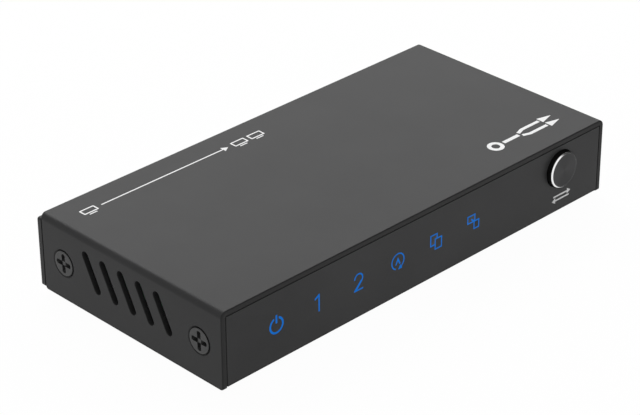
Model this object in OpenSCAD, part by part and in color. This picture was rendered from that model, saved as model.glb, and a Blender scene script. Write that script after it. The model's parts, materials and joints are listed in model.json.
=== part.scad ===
// Slim video splitter box: one input, two outputs. Folded metal cover over a base tray, a front panel
// with six lit icons and a push button, sockets through the rear panel, a circuit board inside.
// Millimetres. +X to the right along the front, +Y to the rear, +Z up.
// The origin is under the middle of the whole object, on the surface that its feet rest on.

/* [Case] */
// Width across the cover's side walls
case_w = 100; // [94:1:130]
// Depth of the cover from its front edge to its rear edge
case_d = 47.85; // [46.8:0.05:70]
// Height of the cover from its lower edges to its top
case_h = 15.5; // [15.2:0.1:24]
// Sheet thickness of the cover
cover_t = 1; // [0.8:0.05:1.2]
// Outside radius of the cover's two bends
cover_bend_r = 0.75; // [0.4:0.05:0.8]
// Gap between the cover and what stands inside it
seam_gap = 0.15; // [0.1:0.01:0.25]
// Gap between the cover's rear edge and the rear panel
rear_gap = 0.2; // [0.15:0.05:0.6]
// Sheet thickness of the tray
tray_t = 1; // [0.7:0.05:1]
// Inside radius of the tray's bends
tray_bend_r = 0.3; // [0.2:0.05:0.5]
// Height of the tray's underside over the cover's lower edges
tray_rise = 0.1; // [0.05:0.01:0.2]
// Height of the tray's side flanges
side_flange_h = 3; // [2.5:0.1:3.6]
// Gap from the cover's top sheet down to the rear panel's upper lip
rear_drop = 0.1; // [0.05:0.05:0.5]
// Length of the lip that the rear panel's top is folded into
rear_lip = 4; // [3:0.1:6]
// Gap left free at the corners of the tray's bends
bend_relief = 0.6; // [0.4:0.05:0.9]

/* [Front panel] */
// Thickness of the front panel
panel_t = 1; // [0.9:0.05:1.2]
// Height of the front panel's lower edge over the cover's lower edges
panel_rise = 0.3; // [0.2:0.05:0.5]
// Thickness of the adhesive sheet behind the front panel
adhesive_t = 0.15; // [0.1:0.01:0.25]
// Depth of the icon pockets
icon_depth = 0.4; // [0.3:0.05:0.6]
// Distance from the case's left side to the first icon
icon_inset = 12.75; // [11:0.05:15]
// Distance between the icons
icon_pitch = 10.05; // [9:0.05:10.5]
// Height of the icons' centres over the cover's lower edges
icon_z = 7.65; // [7.4:0.05:8]
// Line width of the power sign
icon_line = 0.4; // [0.34:0.02:0.5]
// Line width of the digits
digit_line = 0.3; // [0.24:0.02:0.46]
// Line width of the three function signs
sign_line = 0.26; // [0.2:0.02:0.36]

/* [Vents] */
// Distance between the vent slots
vent_pitch = 4.785; // [4:0.005:5]
// Width of a vent slot
vent_w = 1.68; // [1:0.02:2]
// End to end length of a vent slot
vent_l = 8.36; // [6:0.02:8.6]
// Lean of the slots' upper ends to the rear
vent_lean = 27; // [10:0.5:30]
// Distance of the middle slot behind the case's middle
vent_shift = 0.7; // [0:0.05:1.5]
// Height of the slots' middles over the cover's lower edges
vent_z = 8.82; // [8.4:0.01:9.4]

/* [Side screws] */
// Distance of the front screws from the cover's front edge
screw_front = 5.74; // [5.6:0.02:7]
// Distance of the rear screws from the cover's rear edge
screw_rear = 5.73; // [5.5:0.01:7]
// Height of the screws over the cover's lower edges
screw_z = 7.54; // [7.2:0.02:8.5]
// Diameter of the screw's shank
screw_d = 3; // [2.5:0.1:3]
// Diameter of the screw's head
screw_head_d = 4.9; // [4.7:0.05:5.2]
// Length of the screw with its head
screw_l = 5; // [4.4:0.1:6]
// Gap between a screw's head and its countersink
head_gap = 0.06; // [0.04:0.01:0.1]
// Width of the open ring around a screw's head
rim_gap = 0.4; // [0.2:0.01:0.45]
// Gap between a screw's shank and its nut
thread_gap = 0.04; // [0.02:0.01:0.08]
// Diameter of the press nut
nut_d = 5.4; // [5:0.1:5.6]
// Length of the press nut
nut_l = 1.5; // [1.2:0.1:2]
// Width of the tray's screw tabs
tab_w = 6.2; // [5.8:0.1:6.4]
// Height of a screw tab over the screw's centre
tab_over = 3.6; // [3.2:0.1:4.2]

/* [Feet] */
// Diameter of a foot
foot_d = 8; // [6:0.5:12]
// Height of a foot
foot_h = 1.5; // [1:0.1:3]
// Distance of the feet's centres from the case's sides
foot_inset = 9; // [7:0.5:14]

/* [Board] */
// Thickness of the circuit board
board_t = 1.6; // [1.2:0.1:1.6]
// Height of the standoffs
standoff_h = 3; // [2.6:0.1:3.2]
// Diameter of the standoffs
standoff_d = 5; // [4.5:0.1:5.5]
// Gap between the circuit board's edges and what is beside them
board_gap = 0.5; // [0.35:0.05:0.8]
// Distance of the standoffs from the circuit board's side edges
standoff_inset = 3.6; // [3.2:0.1:5]
// Distance between the front and rear standoffs
standoff_span = 19; // [15:0.5:20]
// Diameter of a board screw's shank
board_screw_d = 2.5; // [2:0.1:2.6]
// Diameter of a board screw's head
board_screw_head_d = 4.4; // [4:0.1:4.8]
// Height of a board screw's head
board_screw_head_h = 1.5; // [1.2:0.1:1.8]
// Thickness of the insulating sheet
sheet_t = 0.2; // [0.15:0.01:0.3]

/* [Video sockets] */
// Width of a video socket's mouth
socket_w = 14; // [13.5:0.1:14.2]
// Height of a video socket's mouth
socket_h = 4.55; // [4.3:0.05:4.8]
// Slanted lower corners of the mouth
socket_cut = 1.9; // [1.5:0.1:2.2]
// Wall thickness of the shells
shell_t = 0.35; // [0.3:0.01:0.4]
// Length of a video socket
socket_l = 11.5; // [11:0.1:12]
// Length of a video socket's closed rear end
socket_back = 3.2; // [2.5:0.1:4]
// Distance of the mouths behind the rear panel
socket_proud = 0.5; // [0.2:0.05:1]
// Gap between the shells and the rear panel's cut-outs
cutout_gap = 0.25; // [0.15:0.01:0.35]
// Width of a tongue
tongue_w = 11.2; // [10.6:0.1:11.8]
// Thickness of a tongue
tongue_t = 1.2; // [1:0.05:1.4]
// Distance of the tongue's tip inside the mouth
tongue_set = 1.6; // [1.2:0.1:2.2]
// Radius of the corners of a video socket's mouth
socket_corner_r = 0.5; // [0.3:0.05:0.7]
// Distance of the second video output socket from the case's left side
output_inset = 19; // [17:0.5:21]
// Distance between the two video output sockets
output_pitch = 22; // [19:0.5:23]
// Distance of the video input socket from the power socket
input_pitch = 18.5; // [16:0.5:20]

/* [Power socket] */
// Distance of the power socket from the case's right side
power_inset = 14; // [12:0.5:16]
// Width of the power socket's shell
power_w = 8.94; // [8.6:0.02:9.2]
// Height of the power socket's shell
power_h = 3.26; // [3.1:0.02:3.4]
// Length of the power socket
power_l = 7.4; // [7:0.1:8]

/* [Button] */
// Distance of the button from the case's right side
button_inset = 12.5; // [12:0.1:14]
// Distance of the button's centre under the cover's top
button_drop = 6; // [5.7:0.05:6.2]
// Diameter of the button
button_d = 7.3; // [6.5:0.1:7.6]
// Gap around the button in the front panel
button_gap = 0.19; // [0.12:0.01:0.25]
// Distance of the button's face in front of the panel
button_proud = 1.2; // [0.8:0.05:1.6]
// Bright chamfer of the button
button_chamfer = 0.24; // [0.1:0.01:0.4]
// Travel of the button
button_travel = 0.5; // [0.3:0.05:0.6]
// Thickness of the button's ears behind the tray's flange
ear_t = 0.8; // [0.6:0.05:0.9]
// Gap between the ears and the tray's flange
ear_gap = 0.1; // [0.06:0.01:0.15]
// Diameter of the switch's plunger
plunger_d = 3.2; // [2.8:0.1:3.4]
// Gap around the plunger in the switch
plunger_gap = 0.05; // [0.03:0.01:0.08]
// Length of the plunger inside the switch
plunger_in = 4.3; // [4.2:0.1:5]
// Width of the switch
switch_w = 7; // [6.4:0.1:7.4]

/* [Hidden] */
$fn = 64;
// Overshoot of the cutting shapes
cut = 1;
// Overlap of the sheets with their bends
lap = 0.3;

tray_z = foot_h;
cover_z = tray_z - tray_rise;
cover_top = cover_z + case_h;
cover_in = cover_top - cover_t;
wall_in = case_w / 2 - cover_t;
tray_half = wall_in - seam_gap;
tray_bend = tray_bend_r + tray_t;
tray_in = tray_z + tray_t;

depth_all = button_proud + case_d + rear_gap + tray_t + socket_proud;
front_y = button_proud - depth_all / 2;
cover_rear_y = front_y + case_d;
rear_y = cover_rear_y + rear_gap + tray_t;
rear_in_y = rear_y - tray_t;
mouth_y = rear_y + socket_proud;
panel_in_y = front_y + panel_t;
flange_y = panel_in_y + adhesive_t;
flange_in_y = flange_y + tray_t;
mid_y = (front_y + rear_in_y) / 2;

panel_z = cover_z + panel_rise;
panel_top = cover_in - seam_gap;
flange_half = tray_half - tray_bend - bend_relief;
flange_top = panel_top - bend_relief;
rear_top = cover_in - rear_drop;

screw_ys = [front_y + screw_front, cover_rear_y - screw_rear];
screw_cz = cover_z + screw_z;
head_top_gap = head_gap * sqrt(2);
rim_deep = 0.35;
recess_r = 1.8;
recess_w = 0.85;
recess_deep = 1.1;
recess_turn = 1;

foot_x = case_w / 2 - foot_inset;
foot_y = mid_y - front_y - foot_inset;

board_half = case_w / 2 - max(screw_l, cover_t + seam_gap + tray_t + nut_l) - board_gap;
board_z = tray_in + standoff_h;
board_top = board_z + board_t;
board_front = flange_in_y + ear_gap + button_travel + board_gap;
board_rear = rear_in_y - board_gap;
standoff_x = board_half - standoff_inset;
standoff_ys = [mid_y - standoff_span / 2, mid_y + standoff_span / 2];
board_screw_in = standoff_h - 0.6;
board_hole_d = board_screw_d + 0.4;

icon_count = 6;
icon_xs = [for (i = [0 : icon_count - 1]) icon_inset - case_w / 2 + i * icon_pitch];
icon_cz = cover_z + icon_z;
icon_ring_r = 1.7;
icon_sink = 0.1;
power_gap = 1.1;
power_bar = [0.3, 1.98];
digit_h = 3.6;
digit_w = 2.3;
digit_stem = 0.22;
cycle_from = -60;
cycle_to = 250;
caret = 0.86;
arrow_l = 0.85;
arrow_half = 0.5;
copy_size = [1.95, 2.4];
copy_shift = [1.2, 1];
mix_half = 1.65;
mix_rear = [2.2, 1.7];
mix_front = [1.55, 1.85];
mix_dot = [-0.55, 0.75];
window_w = 5.4;
window_h = 4.8;
window_gap = 0.2;
guide_t = 2.4;
guide_end = 3.6;
guide_top = icon_cz + window_h / 2 + 0.6;
lamp = [1.6, 1, 1.2];

vent_count = 5;

socket_z = board_top + shell_t;
power_x = case_w / 2 - power_inset;
input_x = power_x - input_pitch;
output_2_x = output_inset - case_w / 2;
output_1_x = output_2_x + output_pitch;
socket_xs = [input_x, output_1_x, output_2_x];
corner_steps = 4;
contact_pitch = 1;
contact_w = 0.4;
contact_t = 0.12;
contact_l = 5.2;
contact_count_top = 10;
contact_count_under = 9;
// Share of the mouth's height that lies under the tongue's middle
tongue_at = 0.54;
tongue_z = socket_z + socket_h * tongue_at;

power_z = board_top + power_h / 2;
power_wall = 0.3;
power_back = 2;
power_tongue = [6.6, 4.2, 0.7];
power_contact_count = 6;
power_contact = [0.35, 3.2, 0.08];
power_contact_pitch = 0.9;

button_x = case_w / 2 - button_inset;
button_cz = cover_top - button_drop;
button_r = button_d / 2;
hole_r = button_r + button_gap;
ear_r = hole_r + 1;
ear_half = 2.2;
ear_y = flange_in_y + ear_gap;
cap_back = ear_y + ear_t;
cap_socket = 2;
cap_socket_gap = 0.02;
plunger_r = plunger_d / 2;
switch_clear = 0.35;
switch_y = cap_back + button_travel + switch_clear;
dome_t = 0.25;
dome_gap = 0.05;
bore_l = plunger_in + button_travel + dome_gap + dome_t;
switch_wall = 1;
switch_l = bore_l + switch_wall;
switch_over = 3.3;
switch_top = button_cz + switch_over;
bracket_t = 0.3;

chip = [14, 14, 1.1];
chip_x = -7;
chip_y = mid_y - 4;
pad = [13, 13, 0.4];
sink = [22, 20, 5.4];
sink_base = 1.4;
fin_count = 8;
fin_t = 1;
controller = [7, 7, 1.1];
controller_x = power_x - 14;
controller_y = mid_y - 6;
memory = [4.9, 3.9, 1.4];
memory_gap = 2.6;
array = [2.5, 1, 0.6];
array_gap = 0.8;
array_side = 3;
reg = [6.5, 3.5, 1.6];
reg_tab = [3, 1.4, 0.5];
reg_x = power_x - 5;
reg_y = mid_y + 7.5;
coil = [5, 5, 2.8];
coil_xs = [power_x - 13, power_x - 6];
coil_y = mid_y + 1;
can_d = 5;
can_h = 5.2;
can_base = [5.3, 5.3, 0.9];
can_xs = [output_2_x + 3, output_2_x + 9];
can_y = mid_y - 5;
crystal_size = [5, 3.2, 1.2];
crystal_x = 13;
crystal_y = mid_y - 8;
small = [1.2, 0.7, 0.6];
small_pitch = 2.2;
small_cols = 6;
small_rows = 3;
small_x = output_2_x - 9;
small_y = mid_y - 5;
small_x2 = 6;
small_y2 = mid_y - 3;

// Box by its low and high corners.
module block(low, high) {
    translate(low) cube(high - low);
}

// Box centred in X and Y that stands on the height given.
module stand(size, x, y, z) {
    translate([x - size.x / 2, y - size.y / 2, z]) cube(size);
}

// Cylinder along +Y from the point given.
module rod_y(r, l, p) {
    translate(p) rotate([-90, 0, 0]) cylinder(r = r, h = l);
}

// Cone or cylinder along +X from the point given.
module rod_x(r_low, r_high, l, p) {
    translate(p) rotate([0, 90, 0]) cylinder(r1 = r_low, r2 = r_high, h = l);
}

// Low front bend of a sheet along X, around the origin, with short flat ends that lap the sheets.
module bend_x(r_out, r_in, l) {
    union() {
        intersection() {
            difference() {
                rod_x(r_out, r_out, l, [-l / 2, 0, 0]);
                rod_x(r_in, r_in, l + 2 * cut, [-l / 2 - cut, 0, 0]);
            }
            translate([-l / 2, -r_out, -r_out]) cube([l, r_out, r_out]);
        }
        block([-l / 2, -r_out, 0], [l / 2, -r_in, lap]);
        block([-l / 2, 0, -r_out], [l / 2, lap, -r_in]);
    }
}

// Both sides of the case: the child is drawn for the right side.
module both_sides() {
    children();
    mirror([1, 0, 0]) children();
}

// Points of an arc around a centre, from one angle to another.
function arc(centre, r, from, to) = [for (i = [0 : corner_steps])
    let (t = from + (to - from) * i / corner_steps) centre + r * [cos(t), sin(t)]];

// Outline of a video socket, grown by the distance given, with its mouth's floor on the X axis.
module socket_outline(grow) {
    r = socket_corner_r + grow;
    side = socket_w / 2 - socket_corner_r;
    bevel = socket_corner_r * tan(45 / 2);
    slant = socket_w / 2 - socket_cut - bevel;
    low = socket_cut + bevel;
    high = socket_h - socket_corner_r;
    polygon(concat(
        arc([slant, socket_corner_r], r, -90, -45), arc([side, low], r, -45, 0), arc([side, high], r, 0, 90),
        arc([-side, high], r, 90, 180), arc([-side, low], r, 180, 225),
        arc([-slant, socket_corner_r], r, 225, 270)));
}

// Prism of a video socket's outline, from one depth to another.
module socket_prism(x, grow, y_low, y_high) {
    translate([x, y_high, socket_z]) rotate([90, 0, 0])
        linear_extrude(y_high - y_low) socket_outline(grow);
}

// Prism with round sides for the power socket, from one depth to another.
module power_prism(grow, y_low, y_high) {
    r = power_h / 2 + grow;
    side = power_w / 2 - power_h / 2;
    union() {
        block([power_x - side, y_low, power_z - r], [power_x + side, y_high, power_z + r]);
        rod_y(r, y_high - y_low, [power_x - side, y_low, power_z]);
        rod_y(r, y_high - y_low, [power_x + side, y_low, power_z]);
    }
}

// Space of a side screw on the right side, grown by the gaps given.
module screw_space(head_grow, shank_grow, y, l) {
    face = case_w / 2;
    r_face = screw_head_d / 2 + head_grow;
    r_shank = screw_d / 2 + shank_grow;
    union() {
        rod_x(r_shank, r_face, r_face - r_shank, [face - (r_face - r_shank), y, screw_cz]);
        rod_x(r_shank, r_shank, l, [face - l, y, screw_cz]);
    }
}

module top_cover() {
    head_r = screw_head_d / 2;
    color([0.13, 0.135, 0.14])
    difference() {
        union() {
            block([cover_bend_r - case_w / 2, front_y, cover_in],
                [case_w / 2 - cover_bend_r, cover_rear_y, cover_top]);
            both_sides() {
                block([wall_in, front_y, cover_z], [case_w / 2, cover_rear_y, cover_top - cover_bend_r]);
                cover_corner();
            }
        }
        both_sides() {
            for (i = [0 : vent_count - 1])
                translate([wall_in - cut, mid_y + vent_shift + (i - (vent_count - 1) / 2) * vent_pitch,
                    cover_z + vent_z]) rotate([-vent_lean, 0, 0]) vent_slot();
            for (y = screw_ys) {
                screw_space(head_top_gap, head_top_gap, y, cover_t + cut);
                rod_x(head_r, head_r + rim_gap, rim_deep, [case_w / 2 - rim_deep, y, screw_cz]);
            }
        }
    }
}

// Round outside of the bend over the right wall.
module cover_corner() {
    x = case_w / 2 - cover_bend_r;
    z = cover_top - cover_bend_r;
    intersection() {
        rod_y(cover_bend_r, case_d, [x, front_y, z]);
        block([x, front_y, z], [case_w / 2, cover_rear_y, cover_top]);
    }
}

// Cutting shape of one upright vent slot, through a side wall.
module vent_slot() {
    straight = vent_l - vent_w;
    through = cover_t + 2 * cut;
    translate([0, -vent_w / 2, -straight / 2]) cube([through, vent_w, straight]);
    for (end = [-1, 1]) rod_x(vent_w / 2, vent_w / 2, through, [0, 0, end * straight / 2]);
}

module base_tray() {
    floor_half = tray_half - tray_bend;
    floor_front = flange_y + tray_bend;
    floor_rear = rear_y - tray_bend;
    flank_front = flange_in_y + bend_relief;
    flank_rear = rear_in_y - bend_relief;
    flank_l = flank_rear - flank_front;
    flank_mid = (flank_rear + flank_front) / 2;
    color([0.13, 0.135, 0.14])
    difference() {
        union() {
            block([-floor_half, floor_front, tray_z], [floor_half, floor_rear, tray_in]);
            translate([0, floor_front, tray_z + tray_bend]) bend_x(tray_bend, tray_bend_r, 2 * flange_half);
            block([-flange_half, flange_y, tray_z + tray_bend], [flange_half, flange_in_y, flange_top]);
            translate([0, floor_rear, tray_z + tray_bend])
                mirror([0, 1, 0]) bend_x(tray_bend, tray_bend_r, 2 * flange_half);
            block([-case_w / 2, rear_in_y, tray_z + tray_bend], [case_w / 2, rear_y, rear_top - tray_bend]);
            translate([0, floor_rear, rear_top - tray_bend])
                rotate([180, 0, 0]) bend_x(tray_bend, tray_bend_r, 2 * flange_half);
            block([-flange_half, floor_rear - rear_lip, rear_top - tray_t], [flange_half, floor_rear, rear_top]);
            both_sides() {
                block([flange_half + bend_relief, rear_in_y, tray_z], [case_w / 2, rear_y, rear_top]);
                translate([floor_half, flank_mid, tray_z + tray_bend])
                    rotate([0, 0, 90]) bend_x(tray_bend, tray_bend_r, flank_l);
                block([tray_half - tray_t, flank_front, tray_z + tray_bend],
                    [tray_half, flank_rear, tray_z + side_flange_h]);
                for (y = screw_ys)
                    block([tray_half - tray_t, y - tab_w / 2, tray_z + tray_bend],
                        [tray_half, y + tab_w / 2, screw_cz + tab_over]);
            }
        }
        both_sides() {
            for (y = screw_ys) screw_space(head_top_gap, head_top_gap, y, screw_l + cut);
        }
        for (x = icon_xs)
            block([x - window_w / 2, flange_y - cut, icon_cz - window_h / 2],
                [x + window_w / 2, flange_in_y + cut, icon_cz + window_h / 2]);
        rod_y(hole_r, tray_t + 2 * cut, [button_x, flange_y - cut, button_cz]);
        for (x = socket_xs)
            socket_prism(x, shell_t + cutout_gap, rear_in_y - cut, rear_y + cut);
        power_prism(cutout_gap, rear_in_y - cut, rear_y + cut);
    }
}

module front_panel() {
    color([0.13, 0.135, 0.14])
    difference() {
        block([-tray_half, front_y, panel_z], [tray_half, panel_in_y, panel_top]);
        rod_y(hole_r, panel_t + 2 * cut, [button_x, front_y - cut, button_cz]);
        icons(front_y - cut, front_y + icon_depth);
    }
}

module panel_adhesive() {
    color([0.9, 0.9, 0.86])
    difference() {
        block([-flange_half, panel_in_y, tray_z + tray_bend], [flange_half, flange_y, flange_top]);
        for (x = icon_xs)
            block([x - window_w / 2, panel_in_y - cut, icon_cz - window_h / 2],
                [x + window_w / 2, flange_y + cut, icon_cz + window_h / 2]);
        rod_y(hole_r + window_gap, adhesive_t + 2 * cut, [button_x, panel_in_y - cut, button_cz]);
    }
}

module icon_inlays() {
    color([0.05, 0.35, 0.95]) icons(front_y, front_y + icon_depth);
}

// The six icons as prisms, from one depth to another.
module icons(y_low, y_high) {
    for (i = [0 : icon_count - 1])
        translate([icon_xs[i], y_high, icon_cz]) rotate([90, 0, 0])
            linear_extrude(y_high - y_low) icon(i);
}

module icon(i) {
    if (i == 0) icon_power();
    if (i == 1) icon_one();
    if (i == 2) icon_two();
    if (i == 3) icon_cycle();
    if (i == 4) icon_copy();
    if (i == 5) icon_mix();
}

// Straight line between two points, with square ends.
module stroke(a, b, line) {
    d = b - a;
    translate(a) rotate(atan2(d.y, d.x)) translate([0, -line / 2]) square([norm(d), line]);
}

// Outline of a rectangle by its low and high corners.
module frame_icon(low, high, line) {
    difference() {
        translate(low) square(high - low);
        translate(low + [line, line]) square(high - low - 2 * [line, line]);
    }
}

module icon_ring(r, line) {
    difference() {
        circle(r);
        circle(r - line);
    }
}

module icon_power() {
    difference() {
        translate([0, -icon_sink]) icon_ring(icon_ring_r, icon_line);
        translate([-power_gap / 2, 0]) square([power_gap, icon_ring_r]);
    }
    stroke([0, power_bar[0]], [0, power_bar[1]], icon_line);
}

module icon_one() {
    top = digit_h / 2;
    back = digit_stem - 0.29 * digit_h;
    union() {
        stroke([digit_stem, -top], [digit_stem, top], digit_line);
        polygon([[digit_stem, top], [digit_stem, 0.72 * top], [back, 0.44 * top], [back, 0.66 * top]]);
    }
}

module icon_two() {
    half = digit_w / 2;
    low = -digit_h / 2;
    bowl_z = digit_h / 2 - half;
    union() {
        difference() {
            translate([0, bowl_z]) icon_ring(half, digit_line);
            polygon([[-digit_w, bowl_z], [0, bowl_z], [0.62 * half, bowl_z - 0.78 * half],
                [0.62 * half, 2 * low], [-digit_w, 2 * low]]);
        }
        polygon([[0.79 * half, bowl_z - 0.6 * half], [0.54 * half, bowl_z - 0.35 * half],
            [-half, low + 0.9 * digit_line], [-half, low], [-0.55 * half, low]]);
        translate([-half, low]) square([digit_w, digit_line]);
    }
}

// Open ring that ends in an arrow, around an upward pointer.
module icon_cycle() {
    middle_r = icon_ring_r - sign_line / 2;
    reach = 2 * icon_ring_r;
    union() {
        difference() {
            icon_ring(icon_ring_r, sign_line);
            polygon([[0, 0], reach * [cos(cycle_to), sin(cycle_to)], reach * [cos(cycle_from), sin(cycle_from)]]);
        }
        translate(middle_r * [cos(cycle_from), sin(cycle_from)]) rotate(cycle_from)
            polygon([[-arrow_half, sign_line / 2], [arrow_half, sign_line / 2], [0, -arrow_l]]);
    }
    polygon([[0, caret], [0.8 * caret, -0.8 * caret], [0.42 * caret, -0.8 * caret], [0, 0.12 * caret],
        [-0.42 * caret, -0.8 * caret], [-0.8 * caret, -0.8 * caret]]);
}

// Two sheets, one in front of the other.
module icon_copy() {
    left = -(copy_size.x + copy_shift.x) / 2;
    under = -(copy_size.y + copy_shift.y) / 2;
    rear_low = [left, under + copy_shift.y];
    front_low = [left + copy_shift.x, under];
    union() {
        difference() {
            frame_icon(rear_low, rear_low + copy_size, sign_line);
            translate(front_low) square(copy_size);
        }
        frame_icon(front_low, front_low + copy_size, sign_line);
    }
}

// A wide and a tall sheet that overlap, with a line from one to the other.
module icon_mix() {
    rear_low = [-mix_half, mix_half - mix_rear.y];
    front_low = [mix_half - mix_front.x, -mix_half];
    union() {
        frame_icon(rear_low, rear_low + mix_rear, sign_line);
        frame_icon(front_low, front_low + mix_front, sign_line);
        stroke(mix_dot, front_low + [sign_line / 2, mix_front.y - sign_line / 2], 1.2 * sign_line);
    }
}

module light_guide() {
    x_low = icon_xs[0] - guide_end;
    x_high = icon_xs[icon_count - 1] + guide_end;
    color([0.85, 0.92, 0.98, 0.6])
    union() {
        block([x_low, flange_in_y, board_top], [x_high, flange_in_y + guide_t, guide_top]);
        for (x = icon_xs)
            block([x - window_w / 2 + window_gap, panel_in_y, icon_cz - window_h / 2 + window_gap],
                [x + window_w / 2 - window_gap, flange_in_y, icon_cz + window_h / 2 - window_gap]);
    }
}

module status_lamps() {
    color([0.95, 0.95, 0.85])
    for (x = icon_xs) stand(lamp, x, flange_in_y + guide_t + lamp.y / 2, board_top);
}

module rubber_feet() {
    color([0.05, 0.05, 0.05])
    for (x = [-foot_x, foot_x], y = [mid_y - foot_y, mid_y + foot_y])
        translate([x, y, 0]) cylinder(d = foot_d, h = foot_h);
}

module side_screws() {
    color([0.2, 0.2, 0.21])
    both_sides() for (y = screw_ys) difference() {
        screw_space(0, 0, y, screw_l);
        translate([case_w / 2 - recess_deep, y, screw_cz]) rotate([recess_turn, 0, 0])
            for (turn = [0, 90]) rotate([turn, 0, 0])
                translate([0, -recess_r, -recess_w / 2]) cube([recess_deep + cut, 2 * recess_r, recess_w]);
    }
}

module press_nuts() {
    color([0.7, 0.7, 0.72])
    both_sides() for (y = screw_ys) difference() {
        rod_x(nut_d / 2, nut_d / 2, nut_l, [tray_half - tray_t - nut_l, y, screw_cz]);
        rod_x(screw_d / 2 + thread_gap, screw_d / 2 + thread_gap, nut_l + 2 * cut,
            [tray_half - tray_t - nut_l - cut, y, screw_cz]);
        screw_space(head_top_gap, thread_gap, y, screw_l + cut);
    }
}

// Places the child at the four standoffs, at the height given.
module at_standoffs(z) {
    for (x = [-standoff_x, standoff_x], y = standoff_ys) translate([x, y, z]) children();
}

module circuit_board() {
    color([0.03, 0.22, 0.1])
    difference() {
        block([-board_half, board_front, board_z], [board_half, board_rear, board_top]);
        at_standoffs(board_z - cut) cylinder(d = board_hole_d, h = board_t + 2 * cut);
    }
}

module board_standoffs() {
    color([0.75, 0.7, 0.5])
    at_standoffs(tray_in) difference() {
        cylinder(d = standoff_d, h = standoff_h);
        translate([0, 0, standoff_h - board_screw_in - thread_gap])
            cylinder(d = board_screw_d + 2 * thread_gap, h = board_screw_in + thread_gap + cut);
    }
}

module board_screws() {
    slot = [board_screw_head_d * 0.55, recess_w * 0.8, board_screw_head_h * 0.6];
    color([0.7, 0.7, 0.72])
    at_standoffs(board_top) difference() {
        union() {
            cylinder(d = board_screw_head_d, h = board_screw_head_h);
            translate([0, 0, -board_t - board_screw_in])
                cylinder(d = board_screw_d, h = board_t + board_screw_in);
        }
        for (turn = [0, 90]) rotate([0, 0, turn])
            translate([-slot.x / 2, -slot.y / 2, board_screw_head_h - slot.z]) cube(slot + [0, 0, cut]);
    }
}

module insulating_sheet() {
    edge = 2;
    color([0.9, 0.9, 0.8, 0.7])
    difference() {
        block([edge - board_half, board_front + edge, tray_in],
            [board_half - edge, board_rear - edge, tray_in + sheet_t]);
        at_standoffs(tray_in - cut) cylinder(d = standoff_d + 2 * board_gap, h = sheet_t + 2 * cut);
    }
}

module socket_shell(x) {
    color([0.72, 0.72, 0.74])
    difference() {
        socket_prism(x, shell_t, mouth_y - socket_l, mouth_y);
        socket_prism(x, 0, mouth_y - socket_l - cut, mouth_y + cut);
    }
}

module socket_insulator(x) {
    back_y = mouth_y - socket_l + socket_back;
    color([0.06, 0.06, 0.065])
    union() {
        socket_prism(x, 0, mouth_y - socket_l, back_y);
        block([x - tongue_w / 2, back_y - cut, tongue_z - tongue_t / 2],
            [x + tongue_w / 2, mouth_y - tongue_set, tongue_z + tongue_t / 2]);
    }
}

// A row of flat contacts that stand on the height given.
module contact_row(x, count, z) {
    for (i = [0 : count - 1])
        stand([contact_w, contact_l, contact_t], x + (i - (count - 1) / 2) * contact_pitch,
            mouth_y - tongue_set - contact_w - contact_l / 2, z);
}

module socket_contacts(x) {
    color([0.85, 0.65, 0.25]) {
        contact_row(x, contact_count_top, tongue_z + tongue_t / 2);
        contact_row(x, contact_count_under, tongue_z - tongue_t / 2 - contact_t);
    }
}

module input_shell() { socket_shell(input_x); }
module input_insulator() { socket_insulator(input_x); }
module input_contacts() { socket_contacts(input_x); }
module output_1_shell() { socket_shell(output_1_x); }
module output_1_insulator() { socket_insulator(output_1_x); }
module output_1_contacts() { socket_contacts(output_1_x); }
module output_2_shell() { socket_shell(output_2_x); }
module output_2_insulator() { socket_insulator(output_2_x); }
module output_2_contacts() { socket_contacts(output_2_x); }

module power_shell() {
    color([0.72, 0.72, 0.74])
    difference() {
        power_prism(0, mouth_y - power_l, mouth_y);
        power_prism(-power_wall, mouth_y - power_l - cut, mouth_y + cut);
    }
}

module power_insulator() {
    back_y = mouth_y - power_l + power_back;
    color([0.06, 0.06, 0.065])
    union() {
        power_prism(-power_wall, mouth_y - power_l, back_y);
        block([power_x - power_tongue.x / 2, back_y - cut, power_z - power_tongue.z / 2],
            [power_x + power_tongue.x / 2, back_y + power_tongue.y, power_z + power_tongue.z / 2]);
    }
}

module power_contacts() {
    back_y = mouth_y - power_l + power_back;
    color([0.85, 0.65, 0.25])
    for (i = [0 : power_contact_count - 1], side = [0, 1])
        stand(power_contact, power_x + (i - (power_contact_count - 1) / 2) * power_contact_pitch,
            back_y + power_tongue.y / 2, power_z - power_tongue.z / 2 - power_contact.z
            + side * (power_tongue.z + power_contact.z));
}

module button_cap() {
    face_y = front_y - button_proud;
    color([0.1, 0.1, 0.105])
    difference() {
        union() {
            translate([button_x, face_y, button_cz]) rotate([-90, 0, 0])
                cylinder(r1 = button_r - button_chamfer, r2 = button_r, h = button_chamfer);
            rod_y(button_r, ear_y - face_y - button_chamfer,
                [button_x, face_y + button_chamfer, button_cz]);
            intersection() {
                rod_y(ear_r, ear_t + lap, [button_x, ear_y - lap, button_cz]);
                block([button_x - ear_r, ear_y - lap, button_cz - ear_half],
                    [button_x + ear_r, cap_back, button_cz + ear_half]);
                union() {
                    rod_y(ear_r + cut, ear_t, [button_x, ear_y, button_cz]);
                    rod_y(button_r, ear_t + lap, [button_x, ear_y - lap, button_cz]);
                }
            }
        }
        rod_y(plunger_r + cap_socket_gap, cap_socket + cut, [button_x, cap_back - cap_socket, button_cz]);
    }
}

module switch_plunger() {
    color([0.8, 0.78, 0.7])
    rod_y(plunger_r, switch_y + plunger_in - cap_back + cap_socket,
        [button_x, cap_back - cap_socket, button_cz]);
}

module switch_housing() {
    color([0.08, 0.08, 0.085])
    difference() {
        block([button_x - switch_w / 2, switch_y, board_top],
            [button_x + switch_w / 2, switch_y + switch_l, switch_top]);
        rod_y(plunger_r + plunger_gap, bore_l + cut, [button_x, switch_y - cut, button_cz]);
    }
}

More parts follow.
